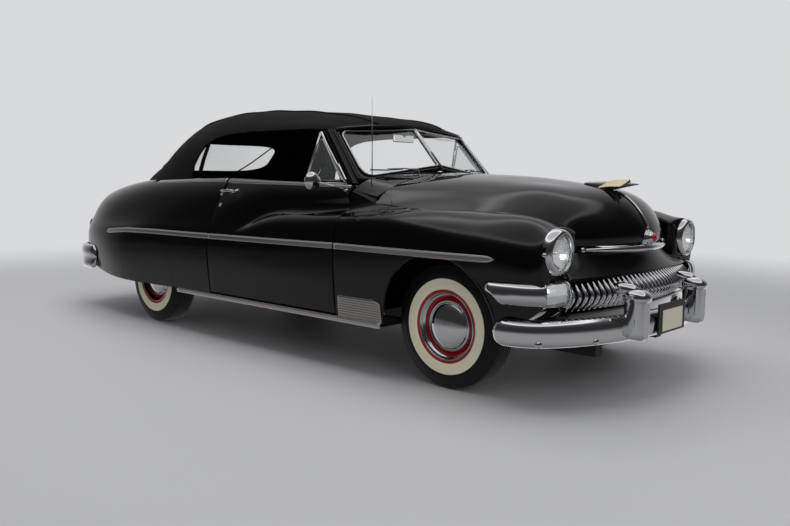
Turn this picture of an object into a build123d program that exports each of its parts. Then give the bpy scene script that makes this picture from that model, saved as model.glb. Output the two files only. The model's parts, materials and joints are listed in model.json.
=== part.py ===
"""A full-size two-door open-top touring car of the early 1950s, fabric top raised, in millimetres.

Frame: +X forward, +Y to the car's left, +Z up, origin on the ground below the middle of the car.
"""

import os
from collections import namedtuple
from math import cos, radians, sin

from build123d import *

os.makedirs("parts", exist_ok=True)

# ---------------------------------------------------------------- driving dimensions
FRONT_AXLE_X = 1760
WHEELBASE = 2997
REAR_AXLE_X = FRONT_AXLE_X - WHEELBASE
FRONT_TRACK = 1486
REAR_TRACK = 1524
TYRE_R = 352
TYRE_W = 184
RIM_R = 190
RIM_FLANGE_R = 205
HUB_Z = TYRE_R

DOOR_FRONT_X = 990
DOOR_REAR_X = -305
DOOR_GAP = 8
DOOR_INNER_Y = 728
DOOR_BOTTOM_Z = 345
DOOR_HINGE_X = 994
DOOR_HINGE_Y = 970
DOOR_SWEEP_R = DOOR_HINGE_X - DOOR_REAR_X + 7

SKIN = 30  # fender and body wall, with its inner flanges
HOOD_T = 24
HOOD_REAR_X = 1160
HOOD_GAP = 6
LID_FRONT_X = -1995
LID_HALF_W = 560
LID_BOTTOM_Z = 640
LID_GAP = 6

SILL_TOP_Z = 333
SILL_GAP = 3
SILL_BOTTOM_Z = 303
SILL_FRONT_X = 1345
FLOOR_Z = 362
FLOOR_T = 14
TUNNEL_HALF_W = 165
TUNNEL_TOP_Z = 470

ARCH_R = 376
ARCH_X = FRONT_AXLE_X + 8
ARCH_Z = 386
WELL_R = 402
SKIRT_CLEAR = 3

RAIL_Y = 400
RAIL_W = 70
RAIL_TOP_Z = 330
RAIL_DEPTH = 110

KINGPIN_Y = 655
STEER_X = 470  # steering wheel hub
STEER_Y = 375
STEER_Z = 1000
STEER_TILT = 62  # column from vertical, degrees
STEER_R = 215

TOP_T = 13  # fabric top with its pads and bows sleeves
GLASS_T = 6
TRIM = 9  # how far mouldings stand out

# Body side sections: x, then (y, z) from the belt down to the sill, every second one the crown of an arc
SideRow = namedtuple("SideRow", "x deck belt upper crease mid shoulder wide sill")
SIDE = [
    SideRow(1000, 0, (794, 1111), (826, 1040), (845, 963), (900, 931), (942, 867), (964, 720), (942, 345)),
    SideRow(600, 0, (784, 1124), (838, 1030), (865, 940), (912, 905), (945, 850), (966, 720), (943, 345)),
    SideRow(200, 0, (776, 1134), (850, 1012), (885, 893), (922, 860), (948, 810), (966, 710), (944, 345)),
    SideRow(20, 0, (772, 1140), (876, 980), (928, 822), (944, 795), (955, 765), (966, 700), (945, 345)),
    SideRow(-360, 0, (763, 1151), (876, 965), (932, 820), (945, 790), (955, 760), (966, 700), (945, 345)),
]
REAR = [
    SideRow(-290, 1190, (763, 1151), (876, 965), (932, 820), (945, 790), (955, 760), (966, 700), (945, 337)),
    SideRow(-650, 1182, (759, 1145), (874, 962), (932, 817), (946, 787), (956, 756), (967, 697), (946, 332)),
    SideRow(-1100, 1168, (752, 1132), (867, 956), (932, 810), (946, 780), (957, 748), (968, 690), (948, 325)),
    SideRow(-1700, 1124, (718, 1097), (845, 942), (916, 780), (935, 750), (946, 720), (956, 660), (935, 328)),
    SideRow(-2150, 1084, (654, 1044), (788, 926), (854, 785), (870, 748), (881, 710), (888, 650), (868, 370)),
    SideRow(-2440, 1002, (578, 966), (698, 868), (768, 748), (784, 712), (795, 676), (800, 616), (786, 420)),
    SideRow(-2620, 856, (488, 822), (600, 752), (672, 686), (686, 658), (695, 625), (700, 580), (688, 460)),
]
# Front fender sections: from the edge beside the hood, over the crown, to the sill
FenderRow = namedtuple("FenderRow", "x edge valley crown shoulder wide lower sill")
FENDER = [
    FenderRow(999, (806, 1079), (846, 965), (898, 930), (942, 867), (964, 740), (957, 540), (942, 335)),
    FenderRow(1200, (765, 1030), (818, 970), (890, 945), (941, 890), (965, 750), (958, 540), (941, 335)),
    FenderRow(1500, (765, 990), (820, 981), (875, 960), (938, 905), (965, 760), (957, 560), (940, 335)),
    FenderRow(1950, (655, 985), (735, 979), (805, 960), (905, 890), (955, 760), (945, 580), (926, 350)),
    FenderRow(2250, (575, 946), (665, 958), (755, 952), (868, 880), (922, 760), (914, 600), (890, 420)),
    FenderRow(2400, (566, 900), (660, 918), (750, 918), (842, 868), (893, 760), (888, 640), (868, 520)),
]
FENDER_NOSE_X = 2330  # the closed nose that holds the headlamp starts here
LAMP_Y, LAMP_Z, LAMP_R = 754, 798, 116

# Hood sections on planes that tip forward: x, z, tip, then (y, depth) of shoulder, flank and edge
HoodRow = namedtuple("HoodRow", "x z tip shoulder flank edge")
HOOD = [
    HoodRow(HOOD_REAR_X, 1201, 0, (560, 76), (690, 128), (795, 205)),
    HoodRow(1500, 1189, 0, (480, 69), (650, 150), (795, 212)),
    HoodRow(1850, 1168, 2, (430, 58), (595, 138), (712, 192)),
    HoodRow(2150, 1130, 9, (400, 40), (520, 108), (622, 178)),
    HoodRow(2380, 1062, 36, (390, 70), (515, 126), (598, 180)),
    HoodRow(2476, 965, 64, (345, 68), (475, 126), (592, 180)),
    HoodRow(2520, 870, 84, (325, 68), (455, 130), (584, 196)),
    HoodRow(2512, 800, 94, (315, 64), (445, 122), (568, 190)),
]
# Shut line of the hood in plan: x, y
HOOD_SHUT = [(HOOD_REAR_X, 775), (1480, 775), (1850, 692), (2150, 607), (2300, 583), (2450, 568), (2620, 568)]

# Fabric top sections: x, crown height, then (y, z) of shoulder, bend, cantrail, flank and foot
TopRow = namedtuple("TopRow", "x crown shoulder bend rail flank foot")
TOP = [
    TopRow(805, 1532, (470, 1508), (580, 1494), (664, 1468), (700, 1300), (716, 1120)),
    TopRow(580, 1584, (476, 1555), (590, 1528), (672, 1484), (712, 1315), (728, 1122)),
    TopRow(300, 1625, (480, 1592), (600, 1552), (682, 1496), (724, 1330), (738, 1125)),
    TopRow(-300, 1670, (490, 1634), (605, 1586), (688, 1500), (734, 1335), (748, 1130)),
    TopRow(-850, 1656, (480, 1602), (590, 1546), (676, 1462), (728, 1320), (746, 1130)),
    TopRow(-1200, 1572, (455, 1506), (560, 1448), (642, 1370), (702, 1256), (735, 1120)),
    TopRow(-1500, 1410, (405, 1352), (508, 1300), (588, 1242), (650, 1174), (686, 1098)),
    TopRow(-1760, 1250, (350, 1220), (448, 1190), (518, 1160), (568, 1122), (610, 1070)),
    TopRow(-1930, 1116, (200, 1110), (290, 1102), (350, 1090), (400, 1070), (430, 1044)),
]


def arcs(points):
    """Arcs through every three points in a row, end to end."""
    for start, via, end in zip(points[0:-2:2], points[1:-1:2], points[2::2]):
        ThreePointArc(start, via, end)


def inset(points, by):
    """The same profile moved inward and down by one wall."""
    return [(y - by, z - by) for y, z in points]


def side_points(row):
    return [row.belt, row.upper, row.crease, row.mid, row.shoulder, row.wide, row.sill]


def fender_points(row):
    return [row.edge, row.valley, row.crown, row.shoulder, row.wide, row.lower, row.sill]


def station(x):
    """Plane across the car at x, with the sketch's axes along the car's Y and Z."""
    return Plane.YZ.offset(x)


def mirrored(points):
    return [(-y, z) for y, z in reversed(points)]


def block(x0, x1, y0, y1, z0, z1, mode=Mode.ADD):
    """A box between two corners."""
    with Locations(((x0 + x1) / 2, (y0 + y1) / 2, (z0 + z1) / 2)):
        return Box(x1 - x0, y1 - y0, z1 - z0, mode=mode)


def polygon(plane, points):
    """A flat outline on a plane."""
    with BuildSketch(plane) as outline:
        with BuildLine():
            Polyline(*points, close=True)
        make_face()
    return outline.sketch


def side_prism(points, y0, y1, mode=Mode.ADD):
    """A side-view outline of (x, z) points, run across the car from y0 to y1."""
    extrude(polygon(Plane.XZ.offset(-y1), points), amount=y1 - y0, mode=mode)


def export(name, part, mirror_to=None):
    part.label = name
    export_step(part, f"parts/{name}.step")
    if mirror_to:
        twin = mirror(part, about=Plane.XZ)
        twin.label = mirror_to
        export_step(twin, f"parts/{mirror_to}.step")


# ---------------------------------------------------------------- body shells that panels are cut from
def body_section(row, wall):
    """A closed section of the rear body, drawn in by a wall."""
    side = inset(side_points(row)[:-1], wall) + [(row.sill[0] - wall, row.sill[1])]
    crown = (0, row.deck - wall)
    with BuildSketch(station(row.x)) as section:
        with BuildLine():
            ThreePointArc((-side[0][0], side[0][1]), crown, side[0])
            arcs(side)
            Line(side[-1], (-side[-1][0], side[-1][1]))
            arcs(mirrored(side))
        make_face()
    return section.sketch


with BuildPart() as rear_outer:
    loft([body_section(row, 0) for row in REAR])

with BuildPart() as rear_inner:
    loft([body_section(row, SKIN) for row in REAR])

# ---------------------------------------------------------------- hood
def hood_section(row, wall):
    """The hood across a plane that tips forward towards the nose, drawn in by a wall."""
    tip = radians(row.tip)
    plane = Plane(origin=(row.x, 0, row.z), x_dir=(0, 1, 0), z_dir=(cos(tip), 0, -sin(tip)))
    flank = inset([(y, -depth) for y, depth in (row.edge, row.flank, row.shoulder)], wall)
    with BuildSketch(plane) as section:
        with BuildLine():
            arcs(flank)
            ThreePointArc(flank[-1], (0, -wall), (-flank[-1][0], flank[-1][1]))
            arcs(mirrored(flank))
            Line((-flank[0][0], flank[0][1]), flank[0])
        make_face()
    return section.sketch


def hood_plan(grow):
    """The hood's outline from above, run through the whole height."""
    half = [(x, y + grow) for x, y in HOOD_SHUT]
    outline = half + [(x, -y) for x, y in reversed(half)]
    return extrude(polygon(Plane.XY.offset(400), outline), amount=1000, dir=(0, 0, 1), mode=Mode.PRIVATE)


NOSE_ROW = 4  # the hood's top ends and its nose begins at this section
with BuildPart() as hood_under:
    loft([hood_section(row, HOOD_T) for row in HOOD[: NOSE_ROW + 1]])
    loft([hood_section(row, HOOD_T) for row in HOOD[NOSE_ROW:]])

with BuildPart() as hood:
    loft([hood_section(row, 0) for row in HOOD[: NOSE_ROW + 1]])
    loft([hood_section(row, 0) for row in HOOD[NOSE_ROW:]])
    add(hood_under.part, mode=Mode.SUBTRACT)
    add(hood_plan(0), mode=Mode.INTERSECT)
export("hood", hood.part)


# ---------------------------------------------------------------- front fenders
def fender_section(row, closed):
    """A fender section: a skin with a wall, or closed down its inner side where it holds the lamp."""
    outer = fender_points(row)
    inner = inset(outer[:-1], SKIN) + [(row.sill[0] - SKIN, row.sill[1])]
    with BuildSketch(station(row.x)) as section:
        with BuildLine():
            arcs(outer)
            if closed:
                Polyline(outer[-1], (row.edge[0], row.sill[1]), outer[0])
            else:
                Line(outer[-1], inner[-1])
                arcs(inner[::-1])
                Line(inner[0], outer[0])
        make_face()
    return section.sketch


with BuildPart() as fender_nose:
    loft([fender_section(row, True) for row in FENDER[-3:]])
    block(FENDER_NOSE_X - 900, FENDER_NOSE_X, 0, 1000, 0, 1200, Mode.SUBTRACT)

with BuildPart() as front_fender:
    loft([fender_section(row, False) for row in FENDER])
    add(fender_nose.part)
    with Locations((FENDER[-1].x, LAMP_Y, LAMP_Z)):
        Cylinder(LAMP_R - 8, 400, rotation=(0, 90, 0), mode=Mode.SUBTRACT)
    with Locations((ARCH_X, 900, ARCH_Z)):
        Cylinder(ARCH_R, 400, rotation=(90, 0, 0), mode=Mode.SUBTRACT)
    block(ARCH_X - ARCH_R, ARCH_X + ARCH_R, 700, 1100, 200, ARCH_Z, Mode.SUBTRACT)
    add(hood_plan(HOOD_GAP), mode=Mode.SUBTRACT)
export("front_fender_left", front_fender.part, "front_fender_right")

# ---------------------------------------------------------------- cowl, with the hinge pillars
CowlRow = namedtuple("CowlRow", "x crown shoulder flank edge")
COWL = [
    CowlRow(998.5, 1208, (560, 1168), (700, 1138), (790, 1088)),
    CowlRow(HOOD_REAR_X - HOOD_GAP, 1201, (560, 1126), (690, 1077), (750, 1051)),
]
COWL_BACK = [
    CowlRow(925, 1192, (500, 1160), (630, 1137), (700, 1108)),
    CowlRow(1010, 1194, (500, 1161), (630, 1137), (700, 1106)),
]


def cowl_section(row, bottom):
    """The top of the scuttle, closed down to a level."""
    flank = [row.shoulder, row.flank, row.edge]
    with BuildSketch(station(row.x)) as section:
        with BuildLine():
            ThreePointArc((-row.shoulder[0], row.shoulder[1]), (0, row.crown), row.shoulder)
            arcs(flank)
            Polyline(row.edge, (row.edge[0], bottom), (-row.edge[0], bottom), (-row.edge[0], row.edge[1]))
            arcs(mirrored(flank))
        make_face()
    return section.sketch


FIREWALL_X = 1092
FIREWALL_T = 16
with BuildPart() as cowl:
    loft([cowl_section(row, DOOR_BOTTOM_Z) for row in COWL], ruled=True)
    block(900, FIREWALL_X, -705, 705, 0, 1090, Mode.SUBTRACT)
    block(FIREWALL_X + FIREWALL_T, 1300, -745, 745, 0, 1010, Mode.SUBTRACT)
    block(FIREWALL_X + FIREWALL_T, 1300, -520, 520, 0, 1110, Mode.SUBTRACT)
    block(900, 1300, -TUNNEL_HALF_W, TUNNEL_HALF_W, 0, TUNNEL_TOP_Z, Mode.SUBTRACT)
    loft([cowl_section(row, 1086) for row in COWL_BACK], ruled=True)
    add(front_fender.part, mode=Mode.SUBTRACT)
    add(mirror(front_fender.part, about=Plane.XZ), mode=Mode.SUBTRACT)
export("cowl", cowl.part)

# ---------------------------------------------------------------- doors
def door_section(row):
    """A door as thick as it really is, from the painted face to the inner trim."""
    side = side_points(row)
    with BuildSketch(station(row.x)) as section:
        with BuildLine():
            arcs(side)
            Polyline(side[-1], (DOOR_INNER_Y, row.sill[1]), (DOOR_INNER_Y, row.belt[1]), side[0])
        make_face()
    return section.sketch


with BuildPart() as door:
    loft([door_section(row) for row in SIDE])
    block(DOOR_FRONT_X, 1100, 600, 1100, 300, 1200, Mode.SUBTRACT)
    with Locations((DOOR_HINGE_X, DOOR_HINGE_Y, 700)):
        Cylinder(DOOR_SWEEP_R, 1000, mode=Mode.INTERSECT)
export("door_left", door.part, "door_right")

# ---------------------------------------------------------------- rear body: quarters, deck and tail in one welded shell
CABIN_REAR_X = -1415
SEAT_RISE_X = -745
REAR_FLOOR_Z = 612
TRUNK_FLOOR_Z = 462
Cut = namedtuple("Cut", "x0 x1 half_w z0 z1")
REAR_CUTS = {
    "cabin": Cut(SEAT_RISE_X, 0, 705, 0, 1400),
    "rear_seat_well": Cut(CABIN_REAR_X, SEAT_RISE_X + 1, 690, REAR_FLOOR_Z + 14, 1400),
    "axle_space": Cut(-1700, SEAT_RISE_X - 14, 640, 0, REAR_FLOOR_Z),
    "spring_passage": Cut(SEAT_RISE_X - 15, SEAT_RISE_X + 1, 640, 0, FLOOR_Z - FLOOR_T),
    "shaft_passage": Cut(SEAT_RISE_X - 15, SEAT_RISE_X + 1, TUNNEL_HALF_W, 0, TUNNEL_TOP_Z),
    "tail_underside": Cut(-2590, -1699, 790, 0, TRUNK_FLOOR_Z - 14),
}
SKIRT = [(-757, 250), (-808, 459), (-856, 623), (-997, 675), (-1263, 719), (-1549, 703), (-1538, 250)]

with BuildPart() as trunk_space:
    add(rear_inner.part)
    block(-2592, CABIN_REAR_X - 14, -1000, 1000, TRUNK_FLOOR_Z, 1400, Mode.INTERSECT)
    for side in (1, -1):
        with Locations((REAR_AXLE_X, side * 800, HUB_Z)):
            Cylinder(WELL_R + SKIN, 340, rotation=(90, 0, 0), mode=Mode.SUBTRACT)

with BuildPart() as rear_body:
    add(rear_outer.part)
    for cut in REAR_CUTS.values():
        block(cut.x0, cut.x1, -cut.half_w, cut.half_w, cut.z0, cut.z1, Mode.SUBTRACT)
    add(trunk_space.part, mode=Mode.SUBTRACT)
    block(-1880, CABIN_REAR_X - 14, -560, 560, 700, 1400, Mode.SUBTRACT)
    for side in (1, -1):
        with Locations((REAR_AXLE_X, side * 785, HUB_Z)):
            Cylinder(WELL_R, 290, rotation=(90, 0, 0), mode=Mode.SUBTRACT)
        with Locations((DOOR_HINGE_X, side * DOOR_HINGE_Y, 700)):
            Cylinder(DOOR_SWEEP_R + DOOR_GAP, 1400, mode=Mode.SUBTRACT)
    side_prism(SKIRT, -1100, -900, Mode.SUBTRACT)
    side_prism(SKIRT, 900, 1100, Mode.SUBTRACT)
    block(-2800, LID_FRONT_X, -LID_HALF_W, LID_HALF_W, LID_BOTTOM_Z, 1300, Mode.SUBTRACT)
export("rear_body", rear_body.part)

with BuildPart() as trunk_lid:
    add(rear_outer.part)
    add(rear_inner.part, mode=Mode.SUBTRACT)
    half = LID_HALF_W - LID_GAP
    block(-2800, LID_FRONT_X - LID_GAP, -half, half, LID_BOTTOM_Z + LID_GAP, 1300, Mode.INTERSECT)
export("trunk_lid", trunk_lid.part)

SKIRT_INNER_Y = 903
with BuildPart() as fender_skirts:
    add(rear_outer.part)
    outline = offset(polygon(Plane.XZ.offset(-1100), SKIRT), -SKIRT_CLEAR, mode=Mode.PRIVATE)
    extrude(outline, amount=2200, mode=Mode.INTERSECT)
    block(-2000, 0, -SKIRT_INNER_Y, SKIRT_INNER_Y, 0, 1200, Mode.SUBTRACT)
export("fender_skirts", fender_skirts.part)

# ---------------------------------------------------------------- fabric top
def top_section(row, wall, drop):
    side = [row.foot, row.flank, row.rail, row.bend, row.shoulder]
    side = inset(side, wall)
    side[0] = (side[0][0], row.foot[1] - drop)
    with BuildSketch(station(row.x)) as section:
        with BuildLine():
            arcs(side)
            ThreePointArc(side[-1], (0, row.crown - wall), (-side[-1][0], side[-1][1]))
            arcs(mirrored(side))
            Line((-side[0][0], side[0][1]), side[0])
        make_face()
    return section.sketch


WINDOW_OUTLINE = [
    (900, 1100), (900, 1468), (640, 1474), (500, 1479), (-155, 1482), (-400, 1471), (-540, 1447),
    (-655, 1403), (-742, 1329), (-803, 1252), (-830, 1163), (-842, 1080), (900, 1080),
]
REAR_WINDOW_W = 1030
REAR_WINDOW_H = 240
REAR_WINDOW_Z = 1330

with BuildPart() as top_inner:
    loft([top_section(row, TOP_T, 60) for row in TOP])

with BuildPart() as top_skin:
    loft([top_section(row, 0, 0) for row in TOP])
    add(top_inner.part, mode=Mode.SUBTRACT)
    add(rear_outer.part.moved(Location((0, 0, 0.6))), mode=Mode.SUBTRACT)

with BuildPart() as window_hole:
    with BuildSketch(Plane.YZ.offset(-2000)):
        with Locations((0, REAR_WINDOW_Z)):
            RectangleRounded(REAR_WINDOW_W, REAR_WINDOW_H, 50)
    extrude(amount=650)

with BuildPart() as soft_top:
    add(top_skin.part)
    add(window_hole.part, mode=Mode.SUBTRACT)
    side_prism(WINDOW_OUTLINE, -1100, 1100, Mode.SUBTRACT)
export("soft_top", soft_top.part)

with BuildPart() as rear_window:
    add(top_skin.part)
    add(window_hole.part, mode=Mode.INTERSECT)
export("rear_window", rear_window.part)

# ---------------------------------------------------------------- windshield
GLASS_FOOT_MID = Vector(1032, 0, 1216)
GLASS_FOOT_SIDE = Vector(966, 716, 1132)
GLASS_HEAD_MID = Vector(765, 0, 1510)
GLASS_HEAD_SIDE = Vector(668, 664, 1468)
FRAME_T = 24
FRAME_W = 34
GLASS_PLANE = Plane(
    origin=GLASS_FOOT_MID,
    x_dir=GLASS_FOOT_SIDE - GLASS_FOOT_MID,
    z_dir=(GLASS_FOOT_SIDE - GLASS_FOOT_MID).cross(GLASS_HEAD_MID - GLASS_FOOT_MID),
)


def pane_outline(inward):
    """One half of the divided windshield on its own plane."""
    corners = [GLASS_FOOT_MID, GLASS_FOOT_SIDE, GLASS_HEAD_SIDE, GLASS_HEAD_MID]
    flat = [GLASS_PLANE.to_local_coords(corner) for corner in corners]
    with BuildSketch(GLASS_PLANE) as outline:
        with BuildLine():
            Polyline(*[(point.X, point.Y) for point in flat], close=True)
        make_face()
        if inward:
            offset(amount=-inward, mode=Mode.REPLACE)
    return outline.sketch


with BuildPart() as half_frame:
    extrude(pane_outline(0), amount=FRAME_T / 2, both=True)
    extrude(pane_outline(FRAME_W), amount=FRAME_T, both=True, mode=Mode.SUBTRACT)
    block(0, 2000, -500, 0, 0, 2000, Mode.SUBTRACT)

with BuildPart() as windshield_frame:
    add(half_frame.part)
    add(mirror(half_frame.part, about=Plane.XZ))
    add(cowl.part, mode=Mode.SUBTRACT)
    add(soft_top.part, mode=Mode.SUBTRACT)
export("windshield_frame", windshield_frame.part)

with BuildPart() as windshield_glass:
    pane = extrude(pane_outline(FRAME_W), amount=GLASS_T / 2, both=True)
    add(mirror(pane, about=Plane.XZ))
export("windshield_glass", windshield_glass.part)

# ---------------------------------------------------------------- floor, sills and toe board
with BuildPart() as floor_pan:
    block(SEAT_RISE_X, FIREWALL_X, -704, 704, FLOOR_Z - FLOOR_T, FLOOR_Z)
    block(SEAT_RISE_X, FIREWALL_X, -TUNNEL_HALF_W, TUNNEL_HALF_W, FLOOR_Z - FLOOR_T, TUNNEL_TOP_Z)
    inner_w = TUNNEL_HALF_W - FLOOR_T
    block(-2000, 2000, -inner_w, inner_w, 0, TUNNEL_TOP_Z - FLOOR_T, Mode.SUBTRACT)
    for side in (1, -1):
        y0, y1 = sorted((side * 690, side * 938))
        block(SEAT_RISE_X, SILL_FRONT_X, y0, y1, SILL_BOTTOM_Z, SILL_TOP_Z - SILL_GAP)
        y0, y1 = sorted((side * 690, side * 704))
        block(SEAT_RISE_X, FIREWALL_X, y0, y1, SILL_BOTTOM_Z, FLOOR_Z)
export("floor_pan", floor_pan.part)

# ---------------------------------------------------------------- chassis
RAIL_FRONT_X = 2440
RAIL_REAR_X = -2560
KICK_UP = 210
KICK_X = (-800, -960, -1500, -1680)
REAR_DROP = 85  # the rails behind the axle stay this much above the ones in front
low, high = RAIL_TOP_Z - RAIL_DEPTH, RAIL_TOP_Z
RAIL_SIDE = [
    (RAIL_FRONT_X, high), (KICK_X[0], high), (KICK_X[1], high + KICK_UP), (KICK_X[2], high + KICK_UP),
    (KICK_X[3], high + REAR_DROP), (RAIL_REAR_X, high + REAR_DROP), (RAIL_REAR_X, low + REAR_DROP + 30),
    (KICK_X[3], low + REAR_DROP), (KICK_X[2], low + KICK_UP), (KICK_X[1], low + KICK_UP),
    (KICK_X[0], low), (RAIL_FRONT_X, low),
]
CROSS_X = (2360, 560, -700, -1900, -2500)
with BuildPart() as chassis_frame:
    for side in (1, -1):
        y0, y1 = sorted((side * (RAIL_Y - RAIL_W), side * RAIL_Y))
        side_prism(RAIL_SIDE, y0, y1)
    for x in CROSS_X:
        lift = REAR_DROP if x < KICK_X[3] else 0
        block(x - 30, x + 30, -RAIL_Y + 20, RAIL_Y - 20, low + lift + 40, low + lift + 90)
    block(FRONT_AXLE_X - 90, FRONT_AXLE_X + 90, -RAIL_Y + 20, RAIL_Y - 20, low - 15, low + 60)
    for x in (700, -500):
        for side in (1, -1):
            y0, y1 = sorted((side * (RAIL_Y - 10), side * 690))
            block(x - 25, x + 25, y0, y1, high - 50, high - 15)
export("chassis_frame", chassis_frame.part)

with BuildPart() as engine_block:
    block(1230, 2080, -215, 215, low + 61, 800)
    block(760, 1231, -120, 120, 265, TUNNEL_TOP_Z - FLOOR_T - 4)
export("engine_block", engine_block.part)

# Front suspension: lower and upper arms, coil springs and shock towers on the front cross-member
ARM_LOW_Z, ARM_HIGH_Z = 235, 470
with BuildPart() as front_suspension:
    for side in (1, -1):
        for z, reach in ((ARM_LOW_Z, RAIL_Y), (ARM_HIGH_Z, RAIL_Y - 20)):
            inner, outer_y = side * reach, side * (KINGPIN_Y + 8)
            with BuildSketch(Plane.XY.offset(z - 14)):
                with BuildLine():
                    Polyline(
                        (FRONT_AXLE_X - 130, inner), (FRONT_AXLE_X + 130, inner),
                        (FRONT_AXLE_X + 24, outer_y), (FRONT_AXLE_X - 24, outer_y), close=True,
                    )
                make_face()
            extrude(amount=28)
        with Locations((FRONT_AXLE_X, side * 490, (ARM_LOW_Z + ARM_HIGH_Z) / 2)):
            Cylinder(55, ARM_HIGH_Z - ARM_LOW_Z)
        y0, y1 = sorted((side * (RAIL_Y - RAIL_W), side * (RAIL_Y + 20)))
        block(FRONT_AXLE_X - 80, FRONT_AXLE_X + 80, y0, y1, RAIL_TOP_Z, ARM_HIGH_Z + 14)
    add(chassis_frame.part, mode=Mode.SUBTRACT)
    add(engine_block.part, mode=Mode.SUBTRACT)
export("front_suspension", front_suspension.part)

# Knuckles: a kingpin post between the arms, the spindle and the brake's backing plate
KNUCKLE_GAP = 1
BACKING_Y = 672
with BuildPart() as knuckle:
    post_low, post_high = ARM_LOW_Z + 14 + KNUCKLE_GAP, ARM_HIGH_Z - 14 - KNUCKLE_GAP
    with Locations((FRONT_AXLE_X, KINGPIN_Y, (post_low + post_high) / 2)):
        Cylinder(22, post_high - post_low)
    spindle_out = FRONT_TRACK / 2 - 4
    with Locations((FRONT_AXLE_X, (KINGPIN_Y + spindle_out) / 2, HUB_Z)):
        Cylinder(17, spindle_out - KINGPIN_Y, rotation=(90, 0, 0))
    with Locations((FRONT_AXLE_X, BACKING_Y, HUB_Z)):
        Cylinder(98, 8, rotation=(90, 0, 0))
    block(FRONT_AXLE_X - 170, FRONT_AXLE_X, KINGPIN_Y - 26, KINGPIN_Y - 4, HUB_Z - 60, HUB_Z - 40)
export("knuckle_left", knuckle.part, "knuckle_right")

# Rear axle with leaf springs and propeller shaft
SPRING_Y = 500
with BuildPart() as rear_axle:
    hub_in = REAR_TRACK / 2 - 62
    with Locations((REAR_AXLE_X, 0, HUB_Z)):
        Cylinder(36, 2 * hub_in, rotation=(90, 0, 0))
        Sphere(130)
    shaft_front = 759
    with Locations(((REAR_AXLE_X + shaft_front) / 2, 0, HUB_Z)):
        Cylinder(34, shaft_front - REAR_AXLE_X, rotation=(0, 90, 0))
    for side in (1, -1):
        with Locations((REAR_AXLE_X, side * (hub_in - 5), HUB_Z)):
            Cylinder(140, 10, rotation=(90, 0, 0))
        y0, y1 = sorted((side * (SPRING_Y - 28), side * (SPRING_Y + 28)))
        spring_z = HUB_Z - 50
        leaf = [(-700, spring_z + 2), (REAR_AXLE_X, spring_z - 10), (-1890, spring_z + 45),
                (-1890, spring_z + 57), (REAR_AXLE_X, spring_z + 24), (-700, spring_z + 14)]
        side_prism(leaf, y0, y1)
        eye_y = sorted((side * RAIL_Y, side * (SPRING_Y + 28)))
        block(-740, -700, *eye_y, spring_z - 15, RAIL_TOP_Z)
        block(-1900, -1870, *eye_y, spring_z + 40, spring_z + 100)
    add(chassis_frame.part, mode=Mode.SUBTRACT)
export("rear_axle", rear_axle.part)

with BuildPart() as exhaust_system:
    with BuildLine() as exhaust_path:
        FilletPolyline((1500, -240, 420), (1300, -250, 285), (-760, -250, 285), (-960, -250, 468),
                       (-1480, -250, 462), (-1700, -290, 300), (-2640, -300, 290), radius=45)
    with BuildSketch(Plane(origin=exhaust_path.line @ 0, z_dir=exhaust_path.line % 0)):
        Circle(24)
    sweep()
    with Locations((300, -250, 264)):
        Cylinder(78, 620, rotation=(0, 90, 0))
    add(engine_block.part, mode=Mode.SUBTRACT)
    add(chassis_frame.part, mode=Mode.SUBTRACT)
export("exhaust_system", exhaust_system.part)

with BuildPart() as fuel_tank:
    block(-2440, -1950, -230, 315, 265, TRUNK_FLOOR_Z - 14)
    add(chassis_frame.part, mode=Mode.SUBTRACT)
    add(exhaust_system.part, mode=Mode.SUBTRACT)
export("fuel_tank", fuel_tank.part)

# ---------------------------------------------------------------- wheels
TYRE_SECTION = [(-0.36, RIM_R), (-0.5, 232), (-0.5, 285), (-0.42, 326), (-0.3, TYRE_R - 5), (0, TYRE_R)]
DISH_FACE = 84  # rim flange plane outboard of the wheel's centre plane
HUBCAP_R = 132


def ring_section(x, y, side, points):
    """A closed outline of (offset across, radius) points beside the wheel's centre."""
    outline = [(y + side * across, HUB_Z + radius) for across, radius in points]
    return polygon(station(x), outline)


WHEELS = {
    "front_left": (FRONT_AXLE_X, FRONT_TRACK / 2, 1),
    "front_right": (FRONT_AXLE_X, -FRONT_TRACK / 2, -1),
    "rear_left": (REAR_AXLE_X, REAR_TRACK / 2, 1),
    "rear_right": (REAR_AXLE_X, -REAR_TRACK / 2, -1),
}
for corner, (x, y, side) in WHEELS.items():
    axle = Axis((x, y, HUB_Z), (0, 1, 0))
    half = [(TYRE_W * share, radius) for share, radius in TYRE_SECTION]
    with BuildPart() as tyre:
        revolve(ring_section(x, y, side, half + [(-across, radius) for across, radius in half[-2::-1]]), axis=axle)
    export(f"tyre_{corner}", tyre.part)
    with BuildPart() as wheel:
        rim = [
            (-DISH_FACE, RIM_R), (-DISH_FACE, RIM_FLANGE_R), (-DISH_FACE + 8, RIM_FLANGE_R), (-66, RIM_R),
            (66, RIM_R), (DISH_FACE - 8, RIM_FLANGE_R), (DISH_FACE, RIM_FLANGE_R), (DISH_FACE, RIM_R - 4),
            (60, 176), (30, 168), (34, HUBCAP_R + 18), (52, HUBCAP_R + 6), (58, HUBCAP_R), (80, 96), (92, 40),
            (94, 0), (20, 0), (20, 60), (24, HUBCAP_R + 10), (20, 166), (-60, 176),
        ]
        revolve(ring_section(x, y, side, rim), axis=axle)
    wheel_part = wheel.part - tyre.part
    export(f"wheel_{corner}", wheel_part)

# ---------------------------------------------------------------- nose, grille, bumpers and lamps

def wrap(front, side_y, corner, rear, turn):
    """A closed outline in plan that bows across the nose and wraps round both corners."""
    cx, cy = corner
    with BuildSketch() as outline:
        with BuildLine():
            Polyline((cx, -cy), (cx - turn, -side_y), (rear, -side_y), (rear, side_y), (cx - turn, side_y), (cx, cy))
            ThreePointArc((cx, cy), (front, 0), (cx, -cy))
        make_face()
    return outline.sketch


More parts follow.
